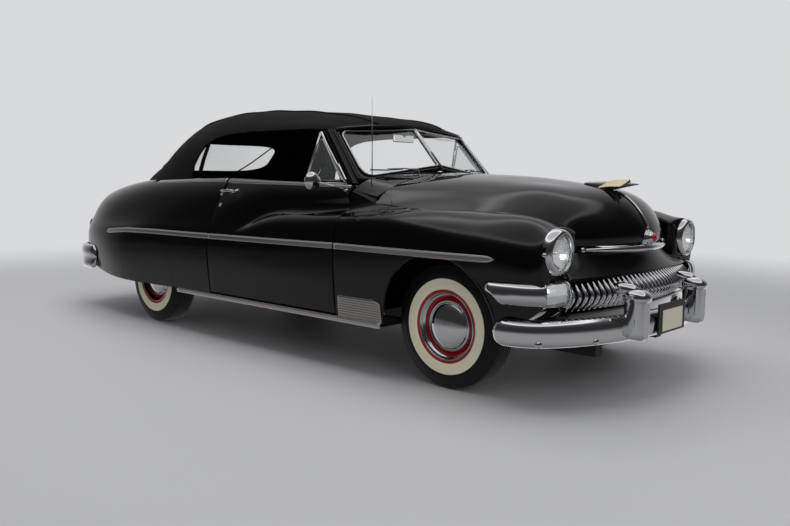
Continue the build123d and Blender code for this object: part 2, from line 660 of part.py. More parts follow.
def wrap_bar(front, side_y, corner, rear, depth, z0, z1, turn=150):
    """A bar of one depth along that outline, open at the back."""
    cx, cy = corner
    outer = wrap(front, side_y, corner, rear, turn)
    inner = wrap(front - depth, side_y - depth, (cx - depth, cy - depth / 2), rear - 50, turn)
    solid = extrude(outer - inner, amount=z1 - z0, dir=(0, 0, 1), mode=Mode.PRIVATE)
    return solid.moved(Location((0, 0, z0)))


BAR_FRONT = 2668
BAR_CORNER = (2475, 790)
BAR_SIDE = 966
BAR_REAR = 2110
BAR_Z = (318, 462)
GUARD_Y = 362
with BuildPart() as front_bumper:
    add(wrap_bar(BAR_FRONT, BAR_SIDE, BAR_CORNER, BAR_REAR, 36, *BAR_Z))
    for side in (1, -1):
        with BuildSketch(Plane.XY.offset(340)):
            with Locations((2640, side * GUARD_Y)):
                RectangleRounded(142, 104, 34)
        extrude(amount=262)
        block(2400, 2600, *sorted((side * 330, side * 400)), 340, 440)
        block(2200, 2420, *sorted((side * 332, side * 398)), 300, 400)
    block(BAR_FRONT - 20, BAR_FRONT + 14, -160, 160, 348, 482)
    for part in (chassis_frame.part, front_fender.part, mirror(front_fender.part, about=Plane.XZ)):
        add(part, mode=Mode.SUBTRACT)
export("front_bumper", front_bumper.part)

REAR_BAR_Z = (352, 560)
with BuildPart() as rear_bumper:
    bar = wrap_bar(2668, 900, (2560, 740), 2060, 36, *REAR_BAR_Z)
    add(bar.rotate(Axis.Z, 180))
    for side in (1, -1):
        with BuildSketch(Plane.XY.offset(340)):
            with Locations((-2654, side * 330)):
                RectangleRounded(114, 96, 30)
        extrude(amount=252)
        block(-2640, -2530, *sorted((side * 332, side * 398)), 400, 440)
    add(rear_body.part, mode=Mode.SUBTRACT)
    add(chassis_frame.part, mode=Mode.SUBTRACT)
export("rear_bumper", rear_bumper.part)

GRILLE_Z = (494, 652)
with BuildPart() as nose_panel:
    add(wrap_bar(2540, 582, (2415, 560), 2360, 24, 470, 784, turn=20))
    block(2300, 2600, -500, 500, 545, 690, Mode.SUBTRACT)
    block(2340, 2362, -575, 575, RAIL_TOP_Z, 786)
    block(2300, 2400, -380, 380, 400, 800, Mode.SUBTRACT)
    block(2342, 2360, -380, 380, 400, 800)
    add(front_fender.part, mode=Mode.SUBTRACT)
    add(mirror(front_fender.part, about=Plane.XZ), mode=Mode.SUBTRACT)
    add(chassis_frame.part, mode=Mode.SUBTRACT)
    add(front_bumper.part, mode=Mode.SUBTRACT)
export("nose_panel", nose_panel.part)

TOOTH_COUNT = 35
TOOTH_PITCH = 41
TOOTH_W = 17
with BuildPart() as grille:
    add(wrap_bar(2606, 958, (2440, 800), 2080, 30, 560, 632))
    for index in range(TOOTH_COUNT):
        y = (index - TOOTH_COUNT // 2) * TOOTH_PITCH
        x = 2606 - 166 * (y / 800) ** 2
        block(x - 70, x + 14, y - TOOTH_W / 2, y + TOOTH_W / 2, GRILLE_Z[0], GRILLE_Z[1])
    for side in (1, -1):
        block(2480, 2600, *sorted((side * 500, side * 516)), 560, 600)
    add(front_fender.part, mode=Mode.SUBTRACT)
    add(mirror(front_fender.part, about=Plane.XZ), mode=Mode.SUBTRACT)
    add(front_bumper.part, mode=Mode.SUBTRACT)
    add(nose_panel.part, mode=Mode.SUBTRACT)
export("grille", grille.part)

with BuildPart() as front_lamps:
    for side in (1, -1):
        with Locations((FENDER[-1].x + 4, side * LAMP_Y, LAMP_Z)):
            Cylinder(LAMP_R, 60, rotation=(0, 90, 0))
    add(front_fender.part, mode=Mode.SUBTRACT)
    add(mirror(front_fender.part, about=Plane.XZ), mode=Mode.SUBTRACT)
export("front_lamps", front_lamps.part)

with BuildPart() as tail_lamps:
    for side in (1, -1):
        with Locations((-2610, side * 655, 690)):
            Box(90, 60, 170)
    add(rear_outer.part, mode=Mode.SUBTRACT)
export("tail_lamps", tail_lamps.part)

# ---------------------------------------------------------------- cabin
with BuildPart() as dashboard:
    block(835, 924, -702, 702, 890, 1110)
    block(924, FIREWALL_X, -702, 702, 1040, 1087)
    add(cowl.part, mode=Mode.SUBTRACT)
export("dashboard", dashboard.part)

tilt = radians(STEER_TILT)
column_dir = Vector(-sin(tilt), 0, cos(tilt))
hub_point = Vector(STEER_X, STEER_Y, STEER_Z)
with BuildPart() as steering_column:
    foot = hub_point - column_dir * 712
    head = hub_point - column_dir * 34
    with BuildSketch(Plane(origin=foot, z_dir=column_dir)):
        Circle(24)
    extrude(amount=(head - foot).length)
    for part in (dashboard, cowl, floor_pan):
        add(part.part, mode=Mode.SUBTRACT)
export("steering_column", steering_column.part)

with BuildPart() as steering_wheel:
    plane = Plane(origin=hub_point, x_dir=(0, 1, 0), z_dir=column_dir)
    with BuildSketch(plane.offset(-33)):
        Circle(40)
    extrude(amount=45)
    with BuildSketch(plane.offset(-7)):
        Rectangle(2 * STEER_R - 10, 26)
    extrude(amount=12)
    with BuildSketch(Plane(origin=hub_point + Vector(0, STEER_R, 0), x_dir=(0, 1, 0), z_dir=plane.y_dir)):
        Circle(11)
    revolve(axis=Axis(hub_point, column_dir))
export("steering_wheel", steering_wheel.part)

SEAT_W = 1320
with BuildPart() as front_seat:
    base_z = TUNNEL_TOP_Z + 2
    cushion = [(430, base_z), (430, 590), (400, 615), (-60, 580), (-80, 560), (-60, base_z)]
    side_prism(cushion, -SEAT_W / 2, SEAT_W / 2)
    back = [(-62, 560), (-40, 620), (-150, 1010), (-180, 1035), (-240, 1020), (-225, 900), (-170, base_z), (-62, base_z)]
    side_prism(back, -SEAT_W / 2, SEAT_W / 2)
    for side in (1, -1):
        block(-60, 380, side * 420 - 25, side * 420 + 25, FLOOR_Z, base_z)
export("front_seat", front_seat.part)

with BuildPart() as rear_seat:
    cushion = [(-760, REAR_FLOOR_Z + 14), (-745, 640), (-770, 680), (-1200, 650), (-1230, REAR_FLOOR_Z + 14)]
    side_prism(cushion, -620, 620)
    back = [(-1200, REAR_FLOOR_Z + 14), (-1195, 660), (-1290, 1030), (-1330, 1060), (-1412, 1050), (-1412, REAR_FLOOR_Z + 14)]
    side_prism(back, -620, 620)
export("rear_seat", rear_seat.part)

# ---------------------------------------------------------------- top bows under the fabric
BOWS_X = (560, -260, -860)
BOW_W = 34
with BuildPart() as top_inner_face:
    loft([top_section(row, TOP_T + 0.5, 60) for row in TOP])
with BuildPart() as top_bow_core:
    loft([top_section(row, TOP_T + 18, 60) for row in TOP])
with BuildPart() as top_bows:
    add(top_inner_face.part)
    add(top_bow_core.part, mode=Mode.SUBTRACT)
    rings = [Pos(x, 0, 1400) * Box(BOW_W, 2000, 400) for x in BOWS_X]
    add(rings[0] + rings[1] + rings[2], mode=Mode.INTERSECT)
    side_prism(WINDOW_OUTLINE, -1100, 1100, Mode.SUBTRACT)
export("top_bows", top_bows.part)

# ---------------------------------------------------------------- bright mouldings
SPEAR_H = 38
SPEAR = [(2150, 758), (1000, 758), (-305, 745), (-1100, 741), (-1480, 733), (-1810, 708)]
spear_outline = [(x, z + SPEAR_H / 2) for x, z in SPEAR] + [(x, z - SPEAR_H / 2) for x, z in reversed(SPEAR)]


def stood_out(part, side=1):
    """A body panel's copy moved outward by the thickness of a moulding."""
    return part.moved(Location((0, side * TRIM, 0)))


with BuildPart() as fender_spear:
    add(stood_out(front_fender.part))
    side_prism(spear_outline, 500, 1100, Mode.INTERSECT)
    add(front_fender.part, mode=Mode.SUBTRACT)
    block(2150, 2500, 500, 1100, 600, 900, Mode.SUBTRACT)

with BuildPart() as quarter_spear:
    add(stood_out(rear_outer.part))
    side_prism(spear_outline, 500, 1100, Mode.INTERSECT)
    add(rear_outer.part, mode=Mode.SUBTRACT)
    with Locations((DOOR_HINGE_X, DOOR_HINGE_Y, 700)):
        Cylinder(DOOR_SWEEP_R + DOOR_GAP, 1400, mode=Mode.SUBTRACT)

with BuildPart() as side_mouldings:
    for half in (fender_spear.part, quarter_spear.part):
        add(half)
        add(mirror(half, about=Plane.XZ))
export("side_mouldings", side_mouldings.part)

ROCKER_X = (-735, 1382)
GUARD_X0 = 1020
with BuildPart() as rocker_mouldings:
    for side in (1, -1):
        y0, y1 = sorted((side * 938, side * 958))
        block(*ROCKER_X, y0, y1, SILL_BOTTOM_Z, SILL_TOP_Z)
        y0, y1 = sorted((side * 930, side * 966))
        block(GUARD_X0, ROCKER_X[1], y0, y1, SILL_TOP_Z, 462)
    add(front_fender.part, mode=Mode.SUBTRACT)
    add(mirror(front_fender.part, about=Plane.XZ), mode=Mode.SUBTRACT)
    add(floor_pan.part, mode=Mode.SUBTRACT)
    add(rear_body.part, mode=Mode.SUBTRACT)
export("rocker_mouldings", rocker_mouldings.part)

with BuildPart() as hood_trim:
    add(wrap_bar(2592, 560, (2440, 510), 2390, 40, 796, 822, turn=20))
    side_prism([(2100, 1120), (2140, 1146), (2430, 1150), (2470, 1128), (2400, 1040), (2200, 1100)], -14, 14)
    with Locations((2518, 0, 846)):
        Sphere(44)
    for part in (hood, hood_under):
        add(part.part, mode=Mode.SUBTRACT)
export("hood_trim", hood_trim.part)

with BuildPart() as trunk_handle:
    block(-2640, -2560, -80, 80, 770, 800)
    with Locations((-2600, 0, 720)):
        Box(120, 150, 30)
    add(rear_outer.part, mode=Mode.SUBTRACT)
export("trunk_handle", trunk_handle.part)

# ---------------------------------------------------------------- door trim: vent window, mirror, handle, spear
VENT = [(480, 1100), (480, 1112), (596, 1452), (620, 1452), (880, 1130), (890, 1100)]
VENT_FOOT_Y = 752
VENT_LEAN = 0.16
VENT_FRAME_W = 16
HANDLE_X, HANDLE_Y, HANDLE_Z = -190, 840, 1062
MIRROR = Vector(850, 990, 1140)
MIRROR_FOOT = Vector(955, 805, 1085)
MIRROR_R = 58

with BuildPart() as door_spear:
    add(stood_out(door.part))
    side_prism(spear_outline, 500, 1100, Mode.INTERSECT)
    add(door.part, mode=Mode.SUBTRACT)
    block(DOOR_FRONT_X, 1100, 500, 1100, 300, 1200, Mode.SUBTRACT)

with BuildPart() as vent_window:
    lean = Plane(origin=(0, VENT_FOOT_Y, VENT[0][1]), x_dir=(1, 0, 0), z_dir=(0, -1, -VENT_LEAN))
    rise = (1 + VENT_LEAN**2) ** 0.5
    outline = polygon(lean, [(x, (z - VENT[0][1]) * rise) for x, z in VENT])
    light = offset(outline, -VENT_FRAME_W, mode=Mode.PRIVATE)
    extrude(outline, amount=7, both=True)
    extrude(light, amount=10, both=True, mode=Mode.SUBTRACT)
    extrude(light, amount=2, both=True)

with BuildPart() as mirror_stem:
    stem = MIRROR - MIRROR_FOOT
    with BuildSketch(Plane(origin=MIRROR_FOOT, z_dir=stem)):
        Circle(7)
    extrude(amount=stem.length)
    with BuildSketch(Plane(origin=MIRROR - Vector(14, 0, 0), z_dir=(1, 0, 0))):
        Circle(MIRROR_R)
    extrude(amount=34, taper=25)

with BuildPart() as door_handle:
    block(HANDLE_X - 95, HANDLE_X + 60, HANDLE_Y + 22, HANDLE_Y + 38, HANDLE_Z - 9, HANDLE_Z + 9)
    block(HANDLE_X - 90, HANDLE_X - 62, HANDLE_Y - 60, HANDLE_Y + 23, HANDLE_Z - 12, HANDLE_Z + 12)

with BuildPart() as door_trim:
    for piece in (door_spear, vent_window, mirror_stem, door_handle):
        add(piece.part)
    add(door.part, mode=Mode.SUBTRACT)
export("door_left_trim", door_trim.part, "door_right_trim")

# ---------------------------------------------------------------- wipers and aerial on the cowl
AERIAL = Vector(985, -620, 1120)
AERIAL_H = 535
with BuildPart() as cowl_fittings:
    for side in (1, -1):
        with Locations((1075, side * 270, 1200)):
            Cylinder(16, 60)
        with BuildSketch(Plane(origin=(1075, side * 270, 1225), z_dir=(-0.22, side * 0.95, 0.02))):
            Rectangle(10, 10)
        extrude(amount=300)
    with Locations((AERIAL.X, AERIAL.Y, AERIAL.Z + AERIAL_H / 2)):
        Cylinder(3.5, AERIAL_H)
    with Locations((AERIAL.X, AERIAL.Y, AERIAL.Z + 10)):
        Cylinder(16, 44)
    add(cowl.part, mode=Mode.SUBTRACT)
    add(windshield_frame.part, mode=Mode.SUBTRACT)
    add(windshield_glass.part, mode=Mode.SUBTRACT)
export("cowl_fittings", cowl_fittings.part)
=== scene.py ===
import json
from math import cos, pi, radians, sin, sqrt

import bmesh
import bpy
import numpy as np
from mathutils import Matrix, Vector

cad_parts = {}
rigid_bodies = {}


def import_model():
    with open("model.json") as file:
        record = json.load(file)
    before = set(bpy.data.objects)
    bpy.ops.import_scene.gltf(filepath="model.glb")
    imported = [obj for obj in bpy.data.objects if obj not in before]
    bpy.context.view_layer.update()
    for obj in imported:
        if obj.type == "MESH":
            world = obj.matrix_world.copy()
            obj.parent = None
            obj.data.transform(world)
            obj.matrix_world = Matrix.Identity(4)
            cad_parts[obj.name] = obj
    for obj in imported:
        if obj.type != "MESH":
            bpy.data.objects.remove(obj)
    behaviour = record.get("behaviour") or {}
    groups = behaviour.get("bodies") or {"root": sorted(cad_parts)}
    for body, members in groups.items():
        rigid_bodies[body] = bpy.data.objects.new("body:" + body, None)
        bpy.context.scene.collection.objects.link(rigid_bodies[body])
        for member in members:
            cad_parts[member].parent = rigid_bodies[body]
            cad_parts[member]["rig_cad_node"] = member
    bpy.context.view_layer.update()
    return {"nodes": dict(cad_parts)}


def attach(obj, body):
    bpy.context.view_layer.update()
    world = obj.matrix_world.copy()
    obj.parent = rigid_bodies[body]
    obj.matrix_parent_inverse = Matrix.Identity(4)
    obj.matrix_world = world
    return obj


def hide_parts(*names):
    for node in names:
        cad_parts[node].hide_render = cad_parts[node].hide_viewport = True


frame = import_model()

SIDES = (("left", 1), ("right", -1))


# ---- Front fenders -------------------------------------------------------------------
# Deep-drawn steel fenders bolted to the cowl and the inner aprons, in hand-rubbed gloss black.
# A rolled crown runs forward over the wheel and closes in a rounded nose around the headlamp.
def linear(code):
    """An sRGB hex colour as linear light."""
    parts = [int(code[i : i + 2], 16) / 255 for i in (1, 3, 5)]
    return [p / 12.92 if p <= 0.04045 else ((p + 0.055) / 1.055) ** 2.4 for p in parts] + [1.0]


def add_node(tree, kind, inputs=None, **settings):
    """A shader or geometry node with its settings and its linked or fixed inputs."""
    made = tree.nodes.new(kind)
    for key, value in settings.items():
        setattr(made, key, value)
    for key, value in (inputs or {}).items():
        if isinstance(value, bpy.types.NodeSocket):
            tree.links.new(value, made.inputs[key])
        else:
            made.inputs[key].default_value = value
    return made


def finish(name, colour, **surface):
    """A material of one colour; its other values go to the sockets of the same names."""
    material = bpy.data.materials.new(name)
    material.use_nodes = True
    shader = material.node_tree.nodes["Principled BSDF"]
    shader.inputs["Base Color"].default_value = linear(colour)
    for key, value in surface.items():
        shader.inputs[key.replace("_", " ").title().replace("Ior", "IOR")].default_value = value
    return material


def cardinal(knots, at):
    """Weights of the knots in a natural cubic through them, at each place along it."""
    count = len(knots)
    span = np.diff(knots)
    left, right = np.zeros((count, count)), np.zeros((count, count))
    left[0, 0] = left[-1, -1] = 1
    for i in range(1, count - 1):
        left[i, i - 1 : i + 2] = span[i - 1], 2 * (span[i - 1] + span[i]), span[i]
        right[i, i - 1 : i + 2] = 6 / span[i - 1], -6 / span[i - 1] - 6 / span[i], 6 / span[i]
    bend = np.linalg.solve(left, right)
    at = np.asarray(at, float)
    i = np.clip(np.searchsorted(knots, at) - 1, 0, count - 2)
    a = ((knots[i + 1] - at) / span[i])[..., None]
    b = 1 - a
    near = np.eye(count)
    cubic = ((a**3 - a) * bend[i] + (b**3 - b) * bend[i + 1]) * (span[i] ** 2)[..., None] / 6
    return a * near[i] + b * near[i + 1] + cubic


def loft(rows):
    """A smooth skin through rows of points, as a function of the lengths along and around it."""
    rows = np.array(rows, float)
    steps = [np.linalg.norm(np.diff(rows, axis=k), axis=2).mean(axis=1 - k) for k in (0, 1)]
    along_knots, around_knots = (np.concatenate([[0], np.cumsum(step)]) for step in steps)

    def skin(along, around):
        along, around = np.broadcast_arrays(along, around)
        return np.einsum("...m,...k,mkc->...c", cardinal(along_knots, along),
            cardinal(around_knots, around), rows)

    skin.along, skin.around = along_knots, around_knots
    return skin


def crossing(test, low, high):
    """Where a rising test passes nought, by halving."""
    low, high = np.array(low, float), np.array(high, float)
    for _ in range(30):
        middle = (low + high) / 2
        past = test(middle) > 0
        low, high = np.where(past, low, middle), np.where(past, middle, high)
    return (low + high) / 2


def along_of(skin, x):
    """The length along a skin of flat cross-sections at which it reaches x."""
    dense = np.linspace(0, skin.along[-1], 800)
    reach = skin(dense, 0.0)[:, 0]
    stop = np.abs(reach - reach[0]).argmax() + 1
    order = np.argsort(reach[:stop])
    return np.interp(x, reach[order], dense[order])


def fan(low, high, count):
    """Columns of evenly spaced values between two edges, one row for each of their places."""
    share = np.linspace(0, 1, count)
    return np.asarray(low)[:, None] * (1 - share) + np.asarray(high)[:, None] * share


def placed(name, data):
    """A new object of some data, linked to the scene."""
    made = bpy.data.objects.new(name, data)
    bpy.context.collection.objects.link(made)
    return made


def face_out(made, close=False):
    """Turn a closed piece's faces outwards, after filling its open ends if it has them."""
    build = bmesh.new()
    build.from_mesh(made.data)
    if close:
        bmesh.ops.holes_fill(build, edges=[e for e in build.edges if e.is_boundary], sides=0)
    bmesh.ops.recalc_face_normals(build, faces=build.faces)
    build.to_mesh(made.data)
    build.free()
    return made


def piece(name, grids, material, wall=0.0, edge=0.0, centre=(0, 0, 0.6), closed=False, twin=False,
    loose=1e-5):
    """Sheets of smooth quads from grids of points, joined where they meet, facing away from a centre."""
    points, faces = [], []
    for grid in grids:
        grid = np.array(grid, float)
        for flip in ((1, -1) if twin else (1,)):
            side = grid * (1, flip, 1)
            start = len(points)
            rows, cols = side.shape[:2]
            points.extend(map(tuple, side.reshape(-1, 3)))
            r, c = np.meshgrid(np.arange(rows - 1), np.arange(cols - (0 if closed else 1)), indexing="ij")
            r, c = r.ravel(), c.ravel()
            d = (c + 1) % cols
            quad = np.stack([r * cols + c, r * cols + d, (r + 1) * cols + d, (r + 1) * cols + c],
                1) + start
            a, b, c4 = side[r, c], side[r, d], side[r + 1, c]
            away = np.einsum("ij,ij->i", np.cross(b - a, c4 - a),
                a - np.array(centre) * (1, flip, 1)).sum()
            faces.extend(map(tuple, quad if away > 0 else quad[:, ::-1]))
    mesh = bpy.data.meshes.new(name)
    mesh.from_pydata(points, [], faces)
    build = bmesh.new()
    build.from_mesh(mesh)
    bmesh.ops.remove_doubles(build, verts=build.verts, dist=loose)
    bmesh.ops.dissolve_degenerate(build, edges=build.edges, dist=1e-7)
    build.to_mesh(mesh)
    build.free()
    mesh.shade_smooth()
    mesh.materials.append(material)
    made = placed(name, mesh)
    if wall:
        made.modifiers.new("wall", "SOLIDIFY").thickness = wall
    if edge:
        bevel = made.modifiers.new("edge", "BEVEL")
        bevel.width, bevel.segments, bevel.limit_method, bevel.angle_limit = edge, 2, "ANGLE", radians(50)
        bevel.harden_normals = True
    return made


def settle(made, body="root", slot="bright_plate", *nodes):
    """The piece rides on a body and stands for CAD nodes, which it hides; the slot is not used."""
    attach(made, body)
    if nodes:
        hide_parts(*nodes)


def stands_for(side, node):
    """A CAD node that holds both sides is replaced once, by the left piece."""
    return (node,) if side == "left" else ()


def arrays(rows):
    """Table rows of (x, (y, z), ...) in millimetres, as points in metres."""
    return [[(row[0] / 1000, y / 1000, z / 1000) for y, z in row[1:]] for row in rows]


# Nitrocellulose black, sprayed and machine-polished: near-black pigment under a mirror-smooth face.
PAINT = finish("gloss black lacquer, polished", "#050507", roughness=0.4, specular_ior_level=0.0,
    coat_weight=1.0, coat_roughness=0.02, coat_ior=1.45)

FENDER = [
    (999, (806, 1079), (846, 965), (898, 930), (942, 867), (964, 740), (957, 540), (942, 335)),
    (1200, (765, 1030), (818, 970), (890, 945), (941, 890), (965, 750), (958, 540), (941, 335)),
    (1500, (765, 990), (820, 981), (875, 960), (938, 905), (965, 760), (957, 560), (940, 335)),
    (1950, (655, 985), (735, 979), (805, 960), (905, 890), (955, 760), (945, 580), (926, 350)),
    (2250, (575, 946), (665, 958), (755, 952), (868, 880), (922, 760), (914, 600), (890, 420)),
    (2380, (566, 905), (660, 924), (750, 923), (846, 868), (895, 760), (889, 640), (870, 515)),
]
LAMP_X, LAMP_Y, LAMP_Z = 2.404, 0.754, 0.798
SEAT_R = 0.121  # hole in the nose that the lamp sits in


def lamp_ring(angles):
    """Points of the lamp's seat, in millimetres."""
    return [(1000 * (LAMP_Y + SEAT_R * cos(radians(a))),
        1000 * (LAMP_Z + SEAT_R * sin(radians(a)))) for a in angles]


def nose_rows(last, angles):
    """Rows that draw the last section in to the lamp's seat."""
    ring = lamp_ring(angles)
    rows = []
    for x, share in ((2399, 0.16), (2408, 0.5), (2411, 1.0)):
        rows.append((x, *[(y + (u - y) * share, z + (w - z) * share) for (y, z),
            (u, w) in zip(last, ring)]))
    return rows


fender_skin = loft(arrays(FENDER + nose_rows(FENDER[-1][1:], (150, 122, 90, 42, -4, -44, -82))))
INNER_NOSE = [(870, 515), (720, 505), (590, 525), (570, 700), (566, 905)]
inner_rows = [(2290, (888, 445), (740, 440), (600, 460), (574, 700), (572, 936)), (2380, *INNER_NOSE)]
inner_skin = loft(arrays(inner_rows + nose_rows(INNER_NOSE, (-82, -112, -150, -185, -210))))

# Shut line between hood and fender, seen from above
SHUT = np.array([(0.999, 0.806), (1.16, 0.782), (1.48, 0.775), (1.85, 0.692), (2.15, 0.607), (2.3, 0.583),
    (2.45, 0.568), (2.62, 0.568)])
HOOD_GAP = 0.0055


def shut_y(x):
    return cardinal(SHUT[:, 0], np.clip(x, SHUT[0, 0], SHUT[-1, 0])) @ SHUT[:, 1]


ARCH_X, ARCH_Z, ARCH_R = 1.768, 0.386, 0.376
turn = np.linspace(0.0, pi, 61)
arch_x = ARCH_X - ARCH_R * np.cos(turn)
arch_z = ARCH_Z + ARCH_R * np.sin(turn)
before = np.linspace(0.9995, arch_x[0] - 0.0004, 26)
after = along_of(fender_skin, np.linspace(arch_x[-1] + 0.0004, 2.38, 16))
after = np.concatenate([after, np.linspace(after[-1], fender_skin.along[-1], 16)[1:]])
along = np.concatenate([along_of(fender_skin, np.concatenate([before, arch_x])), after])
sill = np.full(len(along), fender_skin.around[-1])
arch = slice(len(before), len(before) + len(arch_x))
foot = sill.copy()
foot[arch] = crossing(
    lambda v: arch_z - fender_skin(along[arch], v)[:, 2], np.full(len(arch_x), fender_skin.around[3]),
    sill[arch]
)
top_x = fender_skin(along, 0.0)[:, 0]
inner_edge = crossing(
    lambda v: fender_skin(along, v)[:, 1] - shut_y(top_x), np.zeros(len(along)),
    np.full(len(along), fender_skin.around[2])
)
inner_edge[top_x > 2.385] = 0
fender_grid = fender_skin(along[:, None], fan(inner_edge, foot, 72))
nose_along = np.linspace(0, inner_skin.along[-1], 26)
nose_grid = inner_skin(nose_along[:, None], np.linspace(0, inner_skin.around[-1], 44)[None, :])
for side, sign in SIDES:
    skin = piece(f"fender_skin_{side}", [fender_grid * (1, sign, 1)], PAINT, 0.005, 0.0016,
        (1.7, sign * 0.5, 0.5))
    settle(skin, "root", "black_enamel", f"front_fender_{side}")
    nose = piece(f"fender_nose_{side}", [nose_grid * (1, sign, 1)], PAINT, 0.003, 0.0,
        (2.3, sign * 0.73, 0.72))
    settle(nose, "root", "black_enamel")


def bead(name, path, radius, material, ends=True, sides=10, flat=1.0):
    """A round or oval bead along a path of points."""
    path = np.array(path, float)
    tangent = np.gradient(path, axis=0)
    tangent /= np.linalg.norm(tangent, axis=1)[:, None]
    normal = np.cross(tangent, (0, 0, 1.0))
    weak = np.linalg.norm(normal, axis=1) < 1e-3
    normal[weak] = (0, 1, 0)
    normal /= np.linalg.norm(normal, axis=1)[:, None]
    up = np.cross(normal, tangent)
    angle = np.linspace(0, 2 * pi, sides, endpoint=False)
    radii = np.full(len(path), radius) if np.isscalar(radius) else np.array(radius)
    ring = np.cos(angle)[None, :, None] * normal[:, None] * flat + np.sin(angle)[None, :, None] * up[:,
        None]
    grid = path[:, None] + ring * radii[:, None, None]
    if ends:
        grid = np.concatenate([path[:1, None].repeat(sides, 1), grid, path[-1:, None].repeat(sides, 1)])
    return face_out(piece(name, [grid], material, closed=True))


arch_line = fender_skin(along[arch], foot[arch])
for side, sign in SIDES:
    lip = bead(f"arch_lip_{side}", (arch_line + (0, -0.004, 0)) * (1, sign, 1), 0.0085, PAINT)
    settle(lip, "root", "black_enamel")

# ---- Hood ----------------------------------------------------------------------------
# One wide pressing that falls away to a valley on each side and rolls down to the nose.
# Hinged at its rear edge, with a shut gap of 5 mm or so all round.
HOOD = [  # x, z, tip in degrees, then (y, depth) of shoulder, flank and edge
    (1160, 1201, 0, (560, 76), (690, 128), (795, 205)),
    (1500, 1189, 0, (480, 69), (650, 150), (795, 212)),
    (1850, 1168, 2, (430, 58), (595, 138), (712, 192)),
    (2150, 1130, 9, (400, 40), (520, 108), (622, 178)),
    (2380, 1062, 36, (390, 70), (515, 126), (598, 180)),
    (2476, 965, 64, (345, 68), (475, 126), (592, 180)),
    (2520, 870, 84, (325, 68), (455, 130), (584, 196)),
    (2514, 806, 93, (315, 64), (445, 122), (568, 190)),
]


def hood_row(x, z, tip, shoulder, flank, edge):
    """A whole section of the hood, from its right edge to its left, on its tipped plane."""
    tip = radians(tip)
    half = [(0, 0), (shoulder[0] * 0.52, shoulder[1] * 0.27), shoulder, flank, edge]
    both = [(-y, d) for y, d in half[:0:-1]] + half
    return [((x - d * sin(tip)) / 1000, y / 1000, (z - d * cos(tip)) / 1000) for y, d in both]


hood_skin = loft([hood_row(*row) for row in HOOD])
hood_along = np.concatenate([np.linspace(0, hood_skin.along[3], 52),
    np.linspace(hood_skin.along[3], hood_skin.along[-1], 56)[1:]])
middle, outer = hood_skin.around[4], hood_skin.around[-1]
hood_edge = crossing(
    lambda v: hood_skin(hood_along, v)[:, 1] - shut_y(hood_skin(hood_along, v)[:, 0]) + HOOD_GAP,
    np.full(len(hood_along), middle), np.full(len(hood_along), outer),
)
hood_grid = hood_skin(hood_along[:, None], fan(2 * middle - hood_edge, hood_edge, 141))
hood = piece("hood_panel", [hood_grid], PAINT, 0.005, 0.0016, (1.9, 0, 0.6))
settle(hood, "hood_assembly", "black_enamel", "hood")

# ---- Doors ---------------------------------------------------------------------------
# Long front-hinged doors of two pressings: a skin hemmed round an inner panel with a trim board.
# The fender's crown dies away along the skin and kicks down to a low crease at the rear.
SIDE = [  # x, then belt, upper, crease, mid, shoulder, wide and sill
    (1000, (794, 1111), (826, 1040), (845, 963), (900, 931), (942, 867), (964, 720), (942, 345)),
    (600, (784, 1124), (838, 1030), (865, 940), (912, 905), (945, 850), (966, 720), (943, 345)),
    (200, (776, 1134), (850, 1012), (885, 893), (922, 860), (948, 810), (966, 710), (944, 345)),
    (20, (772, 1140), (876, 980), (928, 822), (944, 795), (955, 765), (966, 700), (945, 345)),
    (-360, (763, 1151), (876, 965), (932, 820), (945, 790), (955, 760), (966, 700), (945, 345)),
]
DOOR_FRONT, HINGE_X, HINGE_Y = 0.990, 0.994, 0.970
SWEEP_R, DOOR_GAP, DOOR_INNER_Y = 1.306, 0.006, 0.728
door_skin = loft(arrays(SIDE[::-1]))


def door_rear(y, grow):
    """The door's rear edge is struck about its hinge, so that it clears the quarter panel."""
    return HINGE_X - np.sqrt((SWEEP_R + grow) ** 2 - (y - HINGE_Y) ** 2)


around = np.linspace(0, door_skin.around[-1], 64)
rear_x = np.full(len(around), -0.3)
for _ in range(6):
    rear_x = door_rear(door_skin(along_of(door_skin, rear_x), around)[:, 1], 0)
share = np.linspace(0, 1, 90)[:, None]
door_x = rear_x * (1 - share) + DOOR_FRONT * share
door_face = door_skin(along_of(door_skin, door_x), around[None, :])
belt, base = door_face[:, :1], door_face[:, -1:]
inner_z = np.linspace(0, 1, 9)[None, 1:-1, None]
inward = np.concatenate([base[..., :1], np.full_like(base[..., :1], DOOR_INNER_Y), base[..., 2:]], -1)
upward = np.concatenate([belt[..., :1], np.full_like(belt[..., :1], DOOR_INNER_Y), belt[..., 2:]], -1)
door_loop = np.concatenate([door_face, inward, inward + (upward - inward) * inner_z, upward], 1)
for side, sign in SIDES:
    door = piece(f"door_shell_{side}", [door_loop * (1, sign, 1)], PAINT, closed=True,
        centre=(0.4, sign * 0.85, 0.7))
    face_out(door, close=True)
    bevel = door.modifiers.new("edge", "BEVEL")
    bevel.width, bevel.segments, bevel.angle_limit = 0.004, 3, radians(50)
    bevel.harden_normals = True
    settle(door, f"door_{side}_assembly", "black_enamel", f"door_{side}")

